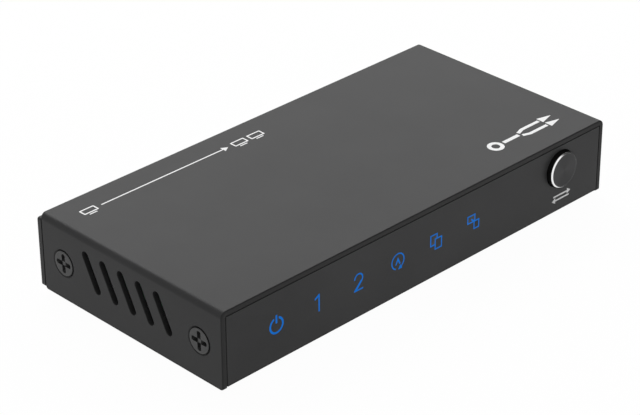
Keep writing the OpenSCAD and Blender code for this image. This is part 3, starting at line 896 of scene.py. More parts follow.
@dataclass
class Cover:
    """The folded cover: one sheet over the top and both sides, with slanted vents and sunk screw holes."""

    finish: Finish
    sheet: float = 1.0 * MM
    bend: float = 1.25 * MM
    inner_bend: float = 0.25 * MM
    rear_over: float = 0.35 * MM
    bend_steps: int = 10
    front_rim: float = 0.22 * MM
    rear_rim: float = 0.1 * MM
    foot_rim: float = 0.05 * MM
    foot_drop: float = 0.09 * MM
    inner_rim: float = 0.06 * MM
    rim_steps: int = 4
    corner: float = 0.5 * MM
    corner_turns: tuple[float, ...] = (50.0, 65.0, 80.0, 90.0)
    vent_count: int = 5
    vent_pitch: float = 4.785 * MM
    vent_width: float = 1.68 * MM
    vent_length: float = 8.36 * MM
    vent_lean: float = math.radians(27)
    vent_place: float = 24.72 * MM
    vent_height: float = 8.82 * MM
    vent_rim: float = 0.1 * MM
    vent_steps: int = 12
    seat_radius: float = 2.535 * MM
    ring_inner: float = 2.45 * MM
    ring_outer: float = 2.85 * MM
    ring_depth: float = 0.35 * MM
    bore: float = 1.6 * MM
    hole_steps: int = 64
    past: float = 0.6 * MM

    def __post_init__(self) -> None:
        """Reads the places of the cover and its screws from the frame."""
        self.span = Span.of("top_cover")
        self.screws = Span.of("side_screws")

    def foot(self) -> list[tuple[float, float, float]]:
        """Follows a wall's foot upwards.

        Returns:
            The height over the foot, the inset of the section and the setback of its two ends at each step.
        """
        rows = [(self.foot_rim * rise, self.foot_rim * inset) for rise, inset in quarter(self.rim_steps)]
        rows += [(self.corner * (1.0 - math.cos(math.radians(turn))), 0.0) for turn in self.corner_turns]
        return [(z, inset, self.corner - math.sqrt(self.corner ** 2 - (self.corner - z) ** 2))
                for z, inset in rows]

    def fold(self) -> list[tuple[Vector, Vector, float, float, float]]:
        """Follows the sheet from the left wall's foot to the right wall's foot.

        Returns:
            A point of the outer face, its partner on the inner face, the inset, the setback and how far the
            rear end reaches past the walls at each step.
        """
        low, high = self.span.low, self.span.high
        walls = []
        for x in (low.x, high.x):
            wall = []
            for height, inset, setback in self.foot():
                outer = Vector((x, 0.0, low.z - self.foot_drop + height))
                inner = outer - Vector((math.copysign(self.sheet, x), 0.0, 0.0))
                wall.append((outer, inner, inset, setback, 0.0))
            walls.append(wall)
        path = walls[0]
        for side, start in ((-1.0, 180.0), (1.0, 90.0)):
            outer = Vector((side * (high.x - self.bend), 0.0, high.z - self.bend))
            deep = self.sheet + self.inner_bend
            inner = Vector((side * (high.x - deep), 0.0, high.z - deep))
            for x, z in arc((0.0, 0.0), 1.0, start, start - 90.0, self.bend_steps):
                out = Vector((x, 0.0, z))
                over = self.rear_over * z
                path.append((outer + out * self.bend, inner + out * self.inner_bend, 0.0, 0.0, over))
        return path + walls[1][::-1]

    def section(self, inset: float, setback: float, over: float) -> list[Point]:
        """Gives the sheet's section as places along Y and depths under the outer face.

        Args:
            inset: Distance that the section is drawn in by.
            setback: Distance that its two ends are drawn in by as well.
            over: Distance that its rear end reaches past the walls.

        Returns:
            The points around the section.
        """
        front, rear = self.span.low.y + inset + setback, self.span.high.y - inset - setback + over
        near, far, inner = (max(r - inset, HAIR) for r in (self.front_rim, self.rear_rim, self.inner_rim))
        top, under = inset, self.sheet - inset
        return (arc((front + near, top + near), near, 180, 270, self.rim_steps)
                + arc((rear - far, top + far), far, 270, 360, self.rim_steps)
                + arc((rear - inner, under - inner), inner, 0, 90, self.rim_steps)
                + arc((front + inner, under - inner), inner, 90, 180, self.rim_steps))

    def vent_tool(self) -> bpy.types.Object:
        """Makes the cutting shape of one vent, along X, with a rounded outer rim.

        Returns:
            The cutting shape.
        """
        half = (self.vent_length - self.vent_width) / 2
        rim = [(-self.vent_rim * under, self.vent_rim * flare) for flare, under in quarter(self.rim_steps)]
        rings = []
        for x, flare in [(-self.sheet - self.past, 0.0), *rim, (self.past, self.vent_rim)]:
            r = self.vent_width / 2 + flare
            outline = (arc((0.0, half), r, 0, 180, self.vent_steps)
                       + arc((0.0, -half), r, 180, 360, self.vent_steps))
            rings.append([Vector((x, y, z)) for y, z in outline])
        bm = bmesh.new()
        loft(bm, rings)
        return as_piece("vent_tool", bm)

    def hole_tool(self) -> bpy.types.Object:
        """Makes the cutting shape of one screw hole, along X: a bore, a cone and a ring around the head.

        Returns:
            The cutting shape.
        """
        profile = [(self.bore, -self.sheet - self.past), (self.bore, self.bore - self.seat_radius),
                   (self.seat_radius - self.ring_depth, -self.ring_depth),
                   (self.ring_inner, -self.ring_depth), (self.ring_outer, 0.0), (self.ring_outer, self.past)]
        bm = bmesh.new()
        turned(bm, Axis.X, profile, self.hole_steps, Vector())
        return as_piece("hole_tool", bm)

    def build(self) -> None:
        """Builds, cuts and dresses the cover."""
        bm = bmesh.new()
        rings = []
        for outer, inner, *ends in self.fold():
            rings.append([outer.lerp(inner, depth / self.sheet) + Vector((0.0, y, 0.0))
                          for y, depth in self.section(*ends)])
        loft(bm, rings)
        sheet = as_piece("cover_sheet", bm)
        span, screws = self.span, self.screws
        first_vent = span.low.y + self.vent_place - (self.vent_count - 1) / 2 * self.vent_pitch
        vent_step = Vector((0.0, self.vent_pitch, 0.0))
        vents, holes = [], []
        for x, turn in ((span.high.x, 0.0), (span.low.x, math.pi)):
            lean = self.vent_lean if turn else -self.vent_lean
            start = Vector((x, first_vent, span.low.z + self.vent_height))
            vents.append(Row(self.vent_count, start, vent_step, Vector((lean, 0.0, turn))))
            holes.append(side_row(screws, x, turn, 0.0))
        carve(sheet, Copies("vent_cuts", vents).make(self.vent_tool(), self.finish))
        carve(sheet, Copies("hole_cuts", holes).make(self.hole_tool(), self.finish))
        dress(sheet, self.finish, Body.CASE, "case_coat", "top_cover")


def side_row(screws: Span, x: float, turn: float, spin: float) -> Row:
    """Gives the row of the two screws on one side wall.

    Args:
        screws: Box of all the side screws.
        x: Place of the wall's outer face.
        turn: Turn about Z from the right wall.
        spin: Turn of each screw about its own axis.

    Returns:
        The row.
    """
    radius = screws.size.z / 2
    first = screws.low.y + radius
    step = screws.size.y - 2 * radius
    return Row(2, Vector((x, first, screws.centre.z)), Vector((0.0, step, 0.0)), Vector((spin, 0.0, turn)))


@dataclass
class SideScrews:
    """The four countersunk cross-recess screws that hold the cover."""

    finish: Finish
    radius: float = 2.45 * MM
    proud: float = 0.03 * MM
    edge: float = 0.1 * MM
    # Shares of the edge inwards and of the proud height, along the head's rim.
    rim: tuple[Point, ...] = ((2.4, 1.0), (0.9, 0.9), (0.25, 0.5))
    rim_drop: float = 0.05 * MM
    shank: float = 1.5 * MM
    length: float = 5.0 * MM
    tip: float = 0.2 * MM
    steps: int = 64
    wing_near: float = 0.36 * MM
    wing_reach: float = 1.95 * MM
    wing_width: float = 0.92 * MM
    wing_depth: float = 0.75 * MM
    wing_slope: float = 0.36 * MM
    wing_taper: float = 0.7
    # Shares of half a wing's width: flats at its two ends, and lengths of the bevels beside them.
    near_flat: float = 0.8
    near_bevel: float = 0.3
    far_flat: float = 0.4
    far_bevel: float = 0.5
    core_radius: float = 0.55 * MM
    core_depth: float = 0.08 * MM
    core_taper: float = 0.7
    core_steps: int = 24
    past: float = 0.4 * MM
    spin: float = math.radians(1)

    def head(self) -> bpy.types.Object:
        """Makes one screw along X, with its face outwards.

        Returns:
            The screw, without its recess.
        """
        cone = self.radius - self.shank
        profile = [(self.radius - share * self.edge, self.proud * rise) for share, rise in self.rim]
        profile += [(self.radius, -self.rim_drop), (self.shank, -cone - self.rim_drop),
                    (self.shank, self.tip - self.length), (self.shank - self.tip, -self.length)]
        bm = bmesh.new()
        turned(bm, Axis.X, profile, self.steps, Vector())
        return as_piece("screw_head", bm)

    def wing_tool(self, turn: float) -> bpy.types.Object:
        """Makes the cutting shape of one pair of wings of the recess.

        Args:
            turn: Turn of the pair about the screw's axis.

        Returns:
            The cutting shape.
        """
        bm = bmesh.new()
        for side in (-1.0, 1.0):
            rings = []
            for x, slope, scale in ((self.past, 0.0, 1.0), (0.0, 0.0, 1.0),
                                    (-self.wing_depth, self.wing_slope, self.wing_taper)):
                near, reach = self.wing_near + slope, self.wing_reach - slope
                half = self.wing_width / 2 * scale
                lower = [(near, -self.near_flat * half), (near + self.near_bevel * half, -half),
                         (reach - self.far_bevel * half, -half), (reach, -self.far_flat * half)]
                outline = lower + [(y, -z) for y, z in reversed(lower)]
                rings.append([Vector((x, side * y, side * z)) for y, z in outline])
            loft(bm, rings)
        bmesh.ops.rotate(bm, verts=bm.verts, cent=(0, 0, 0), matrix=Matrix.Rotation(turn, 3, "X"))
        return as_piece("wing_tool", bm)

    def core_tool(self) -> bpy.types.Object:
        """Makes the cutting shape of the recess's shallow middle.

        Returns:
            The cutting shape.
        """
        profile = [(self.core_radius, self.past), (self.core_radius, 0.0),
                   (self.core_radius * self.core_taper, -self.core_depth)]
        bm = bmesh.new()
        turned(bm, Axis.X, profile, self.core_steps, Vector())
        return as_piece("core_tool", bm)

    def build(self) -> None:
        """Builds and dresses the four screws."""
        head = self.head()
        for tool in (self.wing_tool(0.0), self.wing_tool(math.pi / 2), self.core_tool()):
            carve(head, tool)
        span, cover = Span.of("side_screws"), Span.of("top_cover")
        sides = ((cover.high.x, 0.0), (cover.low.x, math.pi))
        rows = [side_row(span, x, turn, self.spin) for x, turn in sides]
        screws = Copies("cover_screws", rows).make(head, self.finish)
        dress(screws, self.finish, Body.CASE, "black_screw", "side_screws")


@dataclass
class FrontPanel:
    """The front panel with softened outer edges and button hole."""

    finish: Finish
    edge: float = 0.22 * MM
    hole_reach: float = 4.1 * MM

    def build(self) -> None:
        """Builds and dresses the panel."""
        span, button = Span.of("front_panel"), Span.of("button_cap").centre

        def outer(edge: bmesh.types.BMEdge) -> bool:
            """Tells whether an edge runs along the panel's outline or its button hole.

            Args:
                edge: The edge.

            Returns:
                Whether it does.
            """
            mid = (edge.verts[0].co + edge.verts[1].co) / 2
            near = min(mid.x - span.low.x, span.high.x - mid.x, mid.z - span.low.z, span.high.z - mid.z)
            away = math.hypot(mid.x - button.x, mid.z - button.z)
            return near < HAIR or away < self.hole_reach

        panel = softened("front_panel", "front_plate", Rounding(self.edge, pick=outer))
        dress(panel, self.finish, Body.CASE, "panel_coat", "front_panel")


@dataclass
class Tray:
    """The base tray with its rear panel, and the four feet under it."""

    finish: Finish
    foot_finish: Finish
    edge: float = 0.06 * MM
    corner: float = 0.45 * MM
    corner_steps: int = 4
    foot_radius: float = 4.0 * MM
    foot_round: float = 0.35 * MM
    foot_taper: float = 0.2 * MM
    foot_dish: float = 0.15 * MM
    # Shares of the lower radius and of the dish's depth, from the dish's floor to its rim.
    dish: tuple[Point, ...] = ((0.55, 1.0), (0.62, 0.6), (0.7, 0.0))
    foot_lip: float = 0.1 * MM
    foot_steps: int = 48
    round_steps: int = 5

    def foot(self, height: float) -> bpy.types.Object:
        """Makes one foot that stands on the origin.

        Args:
            height: Its height.

        Returns:
            The foot.
        """
        radius = self.foot_radius
        low = radius - self.foot_taper
        profile = [(share * low, depth * self.foot_dish) for share, depth in self.dish]
        profile += arc((low - self.foot_round, self.foot_round), self.foot_round, 270, 360, self.round_steps)
        profile += [(radius, height - self.foot_lip), (radius - self.foot_lip / 2, height)]
        bm = bmesh.new()
        turned(bm, Axis.Z, profile, self.foot_steps, Vector())
        return as_piece("foot", bm)

    def build(self) -> None:
        """Builds and dresses the tray and the feet."""
        tray = Span.of("base_tray")

        def at_corner(edge: bmesh.types.BMEdge) -> bool:
            """Tells whether an edge is one of the rear panel's outer corners.

            Args:
                edge: The edge.

            Returns:
                Whether it is.
            """
            a, b = (v.co for v in edge.verts)
            across = abs((b - a).normalized().y) > 0.99
            return across and min(abs(a.x), abs(b.x)) > tray.high.x - HAIR

        corners = Rounding(self.corner, self.corner_steps, at_corner)
        sheet = softened("base_tray", "tray_sheet", corners, Rounding(self.edge))
        dress(sheet, self.finish, Body.CASE, "tray_coat", "base_tray")
        feet, radius = Span.of("rubber_feet"), self.foot_radius
        step = Vector((0.0, feet.size.y - 2 * radius, 0.0))
        rows = [Row(2, Vector((x, feet.low.y + radius, feet.low.z)), step)
                for x in (feet.low.x + radius, feet.high.x - radius)]
        foot = self.foot(min(feet.size.z, tray.low.z))
        made = Copies("stick_on_feet", rows).make(foot, self.foot_finish)
        dress(made, self.foot_finish, Body.CASE, "foot_rubber", "rubber_feet")


@dataclass
class PushButton:
    """The turned push button with its bright chamfer and its two ears behind the panel."""

    face: Colour
    side: Colour
    bright: Colour
    radius: float = 3.65 * MM
    chamfer: float = 0.24 * MM
    corner: float = 0.03 * MM
    # Shares of the corner's width that its two rounded ends take.
    corner_front: float = 0.4
    corner_side: float = 0.3
    dish: float = 0.05 * MM
    # Shares of the face's radius and of the dish's depth, outwards.
    bowl: tuple[Point, ...] = ((0.2, 1.0), (0.55, 0.72), (0.88, 0.2))
    ear_reach: float = 4.84 * MM
    ear_half: float = 2.2 * MM
    ear_thick: float = 0.8 * MM
    ear_steps: int = 8
    lap: float = 0.3 * MM
    bore: float = 1.62 * MM
    bore_depth: float = 2.0 * MM
    bore_steps: int = 48
    steps: int = 96

    def cap(self, axis: Vector, depth: float) -> bpy.types.Object:
        """Makes the turned cap.

        Args:
            axis: Middle of its front.
            depth: Its whole depth, with the ears.

        Returns:
            The cap.
        """
        face = self.radius - self.chamfer
        profile = [(share * face, sunk * self.dish) for share, sunk in self.bowl]
        profile += [(face - self.corner, 0.0), (face, self.corner_front * self.corner),
                    (self.radius - self.corner_side * self.corner, self.chamfer),
                    (self.radius, self.chamfer + self.corner), (self.radius, depth - self.ear_thick)]
        bm = bmesh.new()
        turned(bm, Axis.Y, profile, self.steps, axis)
        return as_piece("push_button", bm)

    def build(self) -> None:
        """Builds and dresses the button."""
        span = Span.of("button_cap")
        axis, depth = Vector((span.centre.x, span.low.y, span.centre.z)), span.size.y
        cap = self.cap(axis, depth)
        lean = math.degrees(math.asin(self.ear_half / self.ear_reach))
        bar = [p for middle in (0.0, 180.0)
               for p in arc((0.0, 0.0), self.ear_reach, middle - lean, middle + lean, self.ear_steps)]
        bm = bmesh.new()
        loft(bm, [[axis + Vector((x, y, z)) for x, z in bar] for y in (depth - self.ear_thick, depth)])
        carve(cap, as_piece("ears", bm), "UNION")
        bm = bmesh.new()
        hole = [(self.bore, depth - self.bore_depth), (self.bore, depth + self.lap)]
        turned(bm, Axis.Y, hole, self.bore_steps, axis)
        carve(cap, as_piece("bore_tool", bm))
        inner = self.radius - self.chamfer - 0.5 * self.corner
        finish = Anodised("turned_button", self.face, self.side, self.bright, axis.x, axis.z, axis.y,
                          inner, self.chamfer + 0.5 * self.corner)
        dress(cap, finish, Body.BUTTON, "button_coat", "button_cap")


def lipped(span: Span, inner: float, wall: float, steps: int = 6) -> list[Point]:
    """Gives the section of a socket shell's wall, which is round at the mouth.

    Args:
        span: Box of the CAD shell.
        inner: Growth of the outline at the wall's inner face.
        wall: Thickness of the wall.
        steps: Number of parts of the round.

    Returns:
        Growth of the outline and place along Y of each ring.
    """
    half = wall / 2
    lip = arc((inner + half, span.high.y - half), half, 180, 0, steps)
    return [(inner, span.low.y), *lip, (inner + wall, span.low.y)]


def contact_rows(strips: Span, x: float, counts: Sequence[int], pitch: float, thick: float) -> list[Row]:
    """Gives the rows of contacts over and under a socket's tongue.

    Args:
        strips: Box of the socket's CAD contacts.
        x: Middle of the socket.
        counts: Numbers of contacts over and under the tongue.
        pitch: Distance from one contact to the next.
        thick: Thickness of a contact.

    Returns:
        The two rows.
    """
    rows = []
    for count, z, turn in zip(counts, (strips.high.z - thick, strips.low.z + thick), (0.0, math.pi)):
        start = Vector((x - (count - 1) / 2 * pitch, strips.centre.y, z))
        rows.append(Row(count, start, Vector((pitch, 0.0, 0.0)), Vector((0.0, turn, 0.0))))
    return rows


@dataclass
class VideoSocket:
    """One full-size video socket: plated shell, spring leaves, black tongue and gold contacts."""

    prefix: str
    shell_finish: Finish
    black: Finish
    gold: Finish
    width: float = 14.0 * MM
    height: float = 4.55 * MM
    slant: float = 1.9 * MM
    corner: float = 0.5 * MM
    wall: float = 0.35 * MM
    corner_steps: int = 6
    leaf_width: float = 2.0 * MM
    leaf_length: float = 4.6 * MM
    leaf_set: float = 0.8 * MM
    leaf_bulge: float = 0.38 * MM
    leaf_bow: float = 1.5
    leaf_taper: float = 0.25
    leaf_thick: float = 0.12 * MM
    leaf_place: float = 3.3 * MM
    leaf_steps: int = 12
    tongue_edge: float = 0.12 * MM
    contact_counts: tuple[int, int] = (10, 9)
    contact_pitch: float = 1.0 * MM
    contact_half: float = 0.2 * MM
    contact_thick: float = 0.12 * MM
    contact_sunk: float = 0.05 * MM
    contact_flat: float = 0.7
    # Distance before the strip's front end, and drop, along its curved tip.
    contact_tip: tuple[Point, ...] = ((0.5 * MM, 0.0), (0.2 * MM, 0.02 * MM), (0.0, 0.07 * MM))

    def outline(self, grow: float) -> Outline:
        """Gives the mouth's outline, with its floor on the first axis.

        Args:
            grow: Distance that it is grown by.

        Returns:
            The outline.
        """
        r, n = self.corner + grow, self.corner_steps
        side = self.width / 2 - self.corner
        bevel = self.corner * math.tan(math.pi / 8)
        foot = self.width / 2 - self.slant - bevel
        low, high = self.slant + bevel, self.height - self.corner
        return (arc((foot, self.corner), r, -90, -45, n) + arc((side, low), r, -45, 0, n)
                + arc((side, high), r, 0, 90, n) + arc((-side, high), r, 90, 180, n)
                + arc((-side, low), r, 180, 225, n) + arc((-foot, self.corner), r, 225, 270, n))

    def shell(self, span: Span) -> bpy.types.Object:
        """Makes the shell with a rounded mouth.

        Args:
            span: Box of the CAD shell.

        Returns:
            The shell.
        """
        x, floor = span.centre.x, span.low.z + self.wall
        rings = [[Vector((x + across, y, floor + up)) for across, up in self.outline(grow)]
                 for grow, y in lipped(span, 0.0, self.wall)]
        bm = bmesh.new()
        loft(bm, rings, closed=True)
        return as_piece(f"{self.prefix}_socket_shell", bm)

    def leaf(self) -> bpy.types.Object:
        """Makes one spring leaf that bulges down from the origin's plane, along Y.

        Returns:
            The leaf.
        """
        bm = bmesh.new()
        rings = []
        for i in range(self.leaf_steps + 1):
            share = i / self.leaf_steps
            drop = self.leaf_bulge * math.sin(math.pi * share) ** self.leaf_bow
            half = self.leaf_width / 2 * (1.0 - self.leaf_taper * share)
            y = -self.leaf_set - self.leaf_length * (1.0 - share)
            rings.append([Vector((x, y, z - drop)) for x, z in
                          ((-half, 0.0), (half, 0.0), (half, -self.leaf_thick), (-half, -self.leaf_thick))])
        loft(bm, rings)
        return as_piece("leaf", bm)

    def contact(self, span: Span) -> bpy.types.Object:
        """Makes one contact strip around the origin, with a curved tip.

        Args:
            span: Box of the socket's CAD contacts.

        Returns:
            The strip.
        """
        end, half, flat = span.size.y / 2, self.contact_half, self.contact_flat
        under, edge, top = -self.contact_sunk, flat * self.contact_thick, self.contact_thick
        section = ((-half, under), (half, under), (half, edge), (flat * half, top), (-flat * half, top),
                   (-half, edge))
        path = [(-end, 0.0)] + [(end - before, -drop) for before, drop in self.contact_tip]
        bm = bmesh.new()
        loft(bm, [[Vector((x, y, z + h)) for x, h in section] for y, z in path])
        return as_piece("contact", bm)

    def build(self) -> None:
        """Builds and dresses the socket."""
        name = self.prefix
        span, strips = Span.of(f"{name}_shell"), Span.of(f"{name}_contacts")
        dress(self.shell(span), self.shell_finish, Body.CASE, "socket_shell", f"{name}_shell")
        x, mouth, step = span.centre.x, span.high.y, Vector((2 * self.leaf_place, 0.0, 0.0))
        rows = [Row(2, Vector((x - self.leaf_place, mouth, z)), step, Vector((0.0, turn, 0.0)))
                for z, turn in ((span.high.z - self.wall, 0.0), (span.low.z + self.wall, math.pi))]
        leaves = Copies(f"{name}_socket_leaves", rows).make(self.leaf(), self.shell_finish)
        dress(leaves, self.shell_finish, Body.CASE, "socket_shell")
        tongue = softened(f"{name}_insulator", f"{name}_socket_tongue", Rounding(self.tongue_edge))
        dress(tongue, self.black, Body.CASE, "socket_black", f"{name}_insulator")
        rows = contact_rows(strips, x, self.contact_counts, self.contact_pitch, self.contact_thick)
        contacts = Copies(f"{name}_socket_contacts", rows).make(self.contact(strips), self.gold)
        dress(contacts, self.gold, Body.CASE, "gold_contact", f"{name}_contacts")


@dataclass
class PowerSocket:
    """The slim power socket: seamless oval shell, tongue and contacts."""

    shell_finish: Finish
    black: Finish
    gold: Finish
    wall: float = 0.3 * MM
    oval_steps: int = 16
    tongue_edge: float = 0.08 * MM
    contact_counts: tuple[int, int] = (6, 6)
    contact_pitch: float = 0.9 * MM
    contact_half: float = 0.175 * MM
    contact_thick: float = 0.08 * MM
    contact_sunk: float = 0.04 * MM
    contact_edge: float = 0.02 * MM

    def shell(self, span: Span) -> bpy.types.Object:
        """Makes the shell with a rounded mouth.

        Args:
            span: Box of the CAD shell.

        Returns:
            The shell.
        """
        centre, radius, n = span.centre, span.size.z / 2, self.oval_steps
        side = span.size.x / 2 - radius
        rings = []
        for grow, y in lipped(span, -self.wall, self.wall):
            oval = arc((side, 0.0), radius + grow, -90, 90, n) + arc((-side, 0.0), radius + grow, 90, 270, n)
            rings.append([Vector((centre.x + x, y, centre.z + z)) for x, z in oval])
        bm = bmesh.new()
        loft(bm, rings, closed=True)
        return as_piece("power_socket_shell", bm)

    def contact(self, span: Span) -> bpy.types.Object:
        """Makes one contact strip around the origin.

        Args:
            span: Box of the socket's CAD contacts.

        Returns:
            The strip.
        """
        half, end = self.contact_half, span.size.y / 2
        bm = bmesh.new()
        slab(bm, Vector((-half, -end, -self.contact_sunk)), Vector((half, end, self.contact_thick)))
        bmesh.ops.bevel(bm, geom=list(bm.edges), offset=self.contact_edge, segments=1, affect="EDGES")
        return as_piece("power_contact", bm)

    def build(self) -> None:
        """Builds and dresses the socket."""
        span, strips = Span.of("power_shell"), Span.of("power_contacts")
        dress(self.shell(span), self.shell_finish, Body.CASE, "socket_shell", "power_shell")
        tongue = softened("power_insulator", "power_socket_tongue", Rounding(self.tongue_edge))
        dress(tongue, self.black, Body.CASE, "socket_black", "power_insulator")
        x, counts = span.centre.x, self.contact_counts
        rows = contact_rows(strips, x, counts, self.contact_pitch, self.contact_thick)
        contacts = Copies("power_socket_contacts", rows).make(self.contact(strips), self.gold)
        dress(contacts, self.gold, Body.CASE, "gold_contact", "power_contacts")


def ribbon(points: Outline, width: float) -> Outline:
    """Gives the outline of a stroke with square ends and mitred corners.

    Args:
        points: The stroke's path.
        width: Its width.

    Returns:
        The outline.
    """
    path = [Vector(p) for p in points]
    runs = [(b - a).normalized() for a, b in zip(path, path[1:])]
    normals = [Vector((-run.y, run.x)) for run in runs]
    left, right = [], []
    for point, before, after in zip(path, [normals[0], *normals], [*normals, normals[-1]]):
        both = before + after
        shift = both * (width / both.length_squared)
        left.append(tuple(point + shift))
        right.append(tuple(point - shift))
    return left + right[::-1]


def arrow(tail: Point, tip: Point, width: float, head: float) -> Outline:
    """Gives the outline of an arrow.

    Args:
        tail: Where it starts.
        tip: Where it ends.
        width: Width of its shaft.
        head: Length of its head.

    Returns:
        The outline.
    """
    start, end = Vector(tail), Vector(tip)
    along = (end - start).normalized()
    side = Vector((-along.y, along.x))
    neck, half, wing = end - along * head, side * (width / 2), side * (ARROW_SPREAD * head)
    corners = (start + half, neck + half, neck + wing, end, neck - wing, neck - half, start - half)
    return [tuple(p) for p in corners]


def oblong(low: Point, high: Point, corner: float) -> Outline:
    """Gives the outline of a rectangle with rounded corners.

    Args:
        low: Its lower left corner.
        high: Its upper right corner.
        corner: Radius of its corners.

    Returns:
        The outline.
    """
    (x0, y0), (x1, y1) = low, high
    places = (((x1 - corner, y0 + corner), -90), ((x1 - corner, y1 - corner), 0),
              ((x0 + corner, y1 - corner), 90), ((x0 + corner, y0 + corner), 180))
    return [p for centre, start in places for p in arc(centre, corner, start, start + 90, 4)]


@dataclass(frozen=True)
class Face:
    """A flat face that marks are printed on: its origin and its directions across, up and outwards."""

    origin: Vector
    across: Vector
    up: Vector
    out: Vector

    def at(self, point: Point, lift: float) -> Vector:
        """Gives a point of the face, in millimetres across and up, lifted off it."""
        return self.origin + self.across * (point[0] * MM) + self.up * (point[1] * MM) + self.out * lift


@dataclass
class Marks:
    """Generic printed marks on the top, the front and the rear: arrows, screens, digits and a supply sign.

    Places and sizes on a face are in millimetres.
    """

    finish: Finish
    thick: float = 0.02 * MM
    sunk: float = 0.01 * MM
    fork_at: Point = (25.2, -18.8)
    path_at: Point = (-44.7, 17.2)
    path_length: float = 44.5
    swap_at: Point = (35.5, 3.8)
    rear_height: float = 12.75
    screen_width: float = 3.4
    screen_low: float = 0.55
    screen_high: float = 2.3
    screen_rim: float = 0.3
    screen_gap: float = 0.8
    stand_inset: float = 0.8
    stand_height: float = 0.28
    stroke: float = 0.26
    shaft: float = 0.3
    rear_head: float = 0.75
    rear_tall: float = 1.4

    def solid(self, bm: bmesh.types.BMesh, face: Face, outline: Outline) -> None:
        """Adds a filled shape."""
        loft(bm, [[face.at(p, lift) for p in outline] for lift in (-self.sunk, self.thick)])

    def hollow(self, bm: bmesh.types.BMesh, face: Face, outer: Outline, inner: Outline) -> None:
        """Adds a shape with a hole."""
        rings = ((outer, -self.sunk), (outer, self.thick), (inner, self.thick), (inner, -self.sunk))
        loft(bm, [[face.at(p, lift) for p in line] for line, lift in rings], closed=True)

    def screen(self, bm: bmesh.types.BMesh, face: Face, at: float) -> None:
        """Adds a screen pictogram.

        Args:
            bm: The mesh under construction.
            face: The face.
            at: Place of its left side.
        """
        right, low, high, rim = at + self.screen_width, self.screen_low, self.screen_high, self.screen_rim
        outer = oblong((at, low), (right, high), 0.2)
        inner = oblong((at + rim, low + rim), (right - rim, high - rim), 0.08)
        self.hollow(bm, face, outer, inner)
        inset = self.stand_inset
        self.solid(bm, face, oblong((at + inset, 0.0), (right - inset, self.stand_height), 0.1))

    def fork(self, face: Face) -> bpy.types.Object:
        """Makes the bold sign of one line that goes to two arrows.

        Args:
            face: The face.

        Returns:
            The mark.
        """
        mid, ring, branch, wing = 1.8, 1.7, 1.1, 0.9
        bm = bmesh.new()
        outer, inner = (arc((ring, mid), radius, 0, 337.5, 15) for radius in (ring, ring / 2))
        self.hollow(bm, face, outer, inner)
        self.solid(bm, face, ribbon([(3.9, mid), (8.2, mid)], 0.85))
        for side in (-1.0, 1.0):
            level = mid + branch * side
            line = [(8.7, mid + branch / 2 * side), (10.3, level), (15.2, level)]
            self.solid(bm, face, ribbon(line, 0.75))
            self.solid(bm, face, [(15.6, level - wing * side), (18.8, level), (15.6, level + wing * side)])
        return as_piece("fork_mark", bm)

    def path(self, face: Face) -> bpy.types.Object:
        """Makes the thin sign of a screen, a long arrow and two screens.

        Args:
            face: The face.

        Returns:
            The mark.
        """
        last = self.path_length - self.screen_width
        second = last - self.screen_width - self.screen_gap
        height, space, head = 1.4, 1.2, 1.3
        bm = bmesh.new()
        for at in (0.0, second, last):
            self.screen(bm, face, at)
        tail, tip = (self.screen_width + space, height), (second - space, height)
        self.solid(bm, face, arrow(tail, tip, self.shaft, head))
        return as_piece("path_mark", bm)

    def swap(self, face: Face) -> bpy.types.Object:
        """Makes the small sign of two opposed arrows.

        Args:
            face: The face.

        Returns:
            The mark.
        """
        shaft, head = 0.34, 1.0
        bm = bmesh.new()
        self.solid(bm, face, arrow((0.4, 1.25), (5.4, 1.25), shaft, head))
        self.solid(bm, face, arrow((5.0, 0.35), (0.0, 0.35), shaft, head))
        return as_piece("swap_mark", bm)

    def rear(self, faces: Sequence[Face]) -> bpy.types.Object:
        """Makes the rear panel's signs.

        Args:
            faces: Faces centred over the input, the two outputs and the power socket.

        Returns:
            The marks.
        """
        source, first, second, power = faces
        one = [(0.7, 1.05), (1.0, 1.3), (1.0, 0.0)]
        two = [(0.65, 1.05), *arc((1.05, 0.95), 0.38, 165, -35, 8), (0.68, 0.13), (1.5, 0.13)]
        bm = bmesh.new()
        self.solid(bm, source, arrow((0.0, self.rear_tall), (0.0, 0.0), self.shaft, self.rear_head))
        for face, digit in ((first, one), (second, two)):
            self.solid(bm, face, arrow((-0.8, 0.0), (-0.8, self.rear_tall), self.shaft, self.rear_head))
            self.solid(bm, face, ribbon(digit, self.stroke))
        self.solid(bm, power, ribbon([(-1.1, 0.9), (1.1, 0.9)], self.stroke))
        for at in (-1.1, -0.28, 0.54):
            self.solid(bm, power, ribbon([(at, 0.35), (at + 0.56, 0.35)], self.stroke))
        return as_piece("rear_marks", bm)

    def build(self) -> None:
        """Prints every mark."""
        x, y, z = Vector((1.0, 0.0, 0.0)), Vector((0.0, 1.0, 0.0)), Vector((0.0, 0.0, 1.0))
        top, front = Span.of("top_cover").high.z, Span.of("front_panel").low.y
        rear = Span.of("base_tray").high.y
        rears = [Face(Vector((Span.of(f"{name}_shell").centre.x, rear, self.rear_height * MM)), -x, z, y)
                 for name in ("input", "output_1", "output_2", "power")]
        fork, path, swap = (Vector(at) * MM for at in (self.fork_at, self.path_at, self.swap_at))
        marks = (self.fork(Face(Vector((fork.x, fork.y, top)), x, y, z)),
                 self.path(Face(Vector((path.x, path.y, top)), x, y, z)),
                 self.swap(Face(Vector((swap.x, front, swap.y)), x, z, -y)),
                 self.rear(rears))
        for mark in marks:
            dress(mark, self.finish, Body.CASE, None)


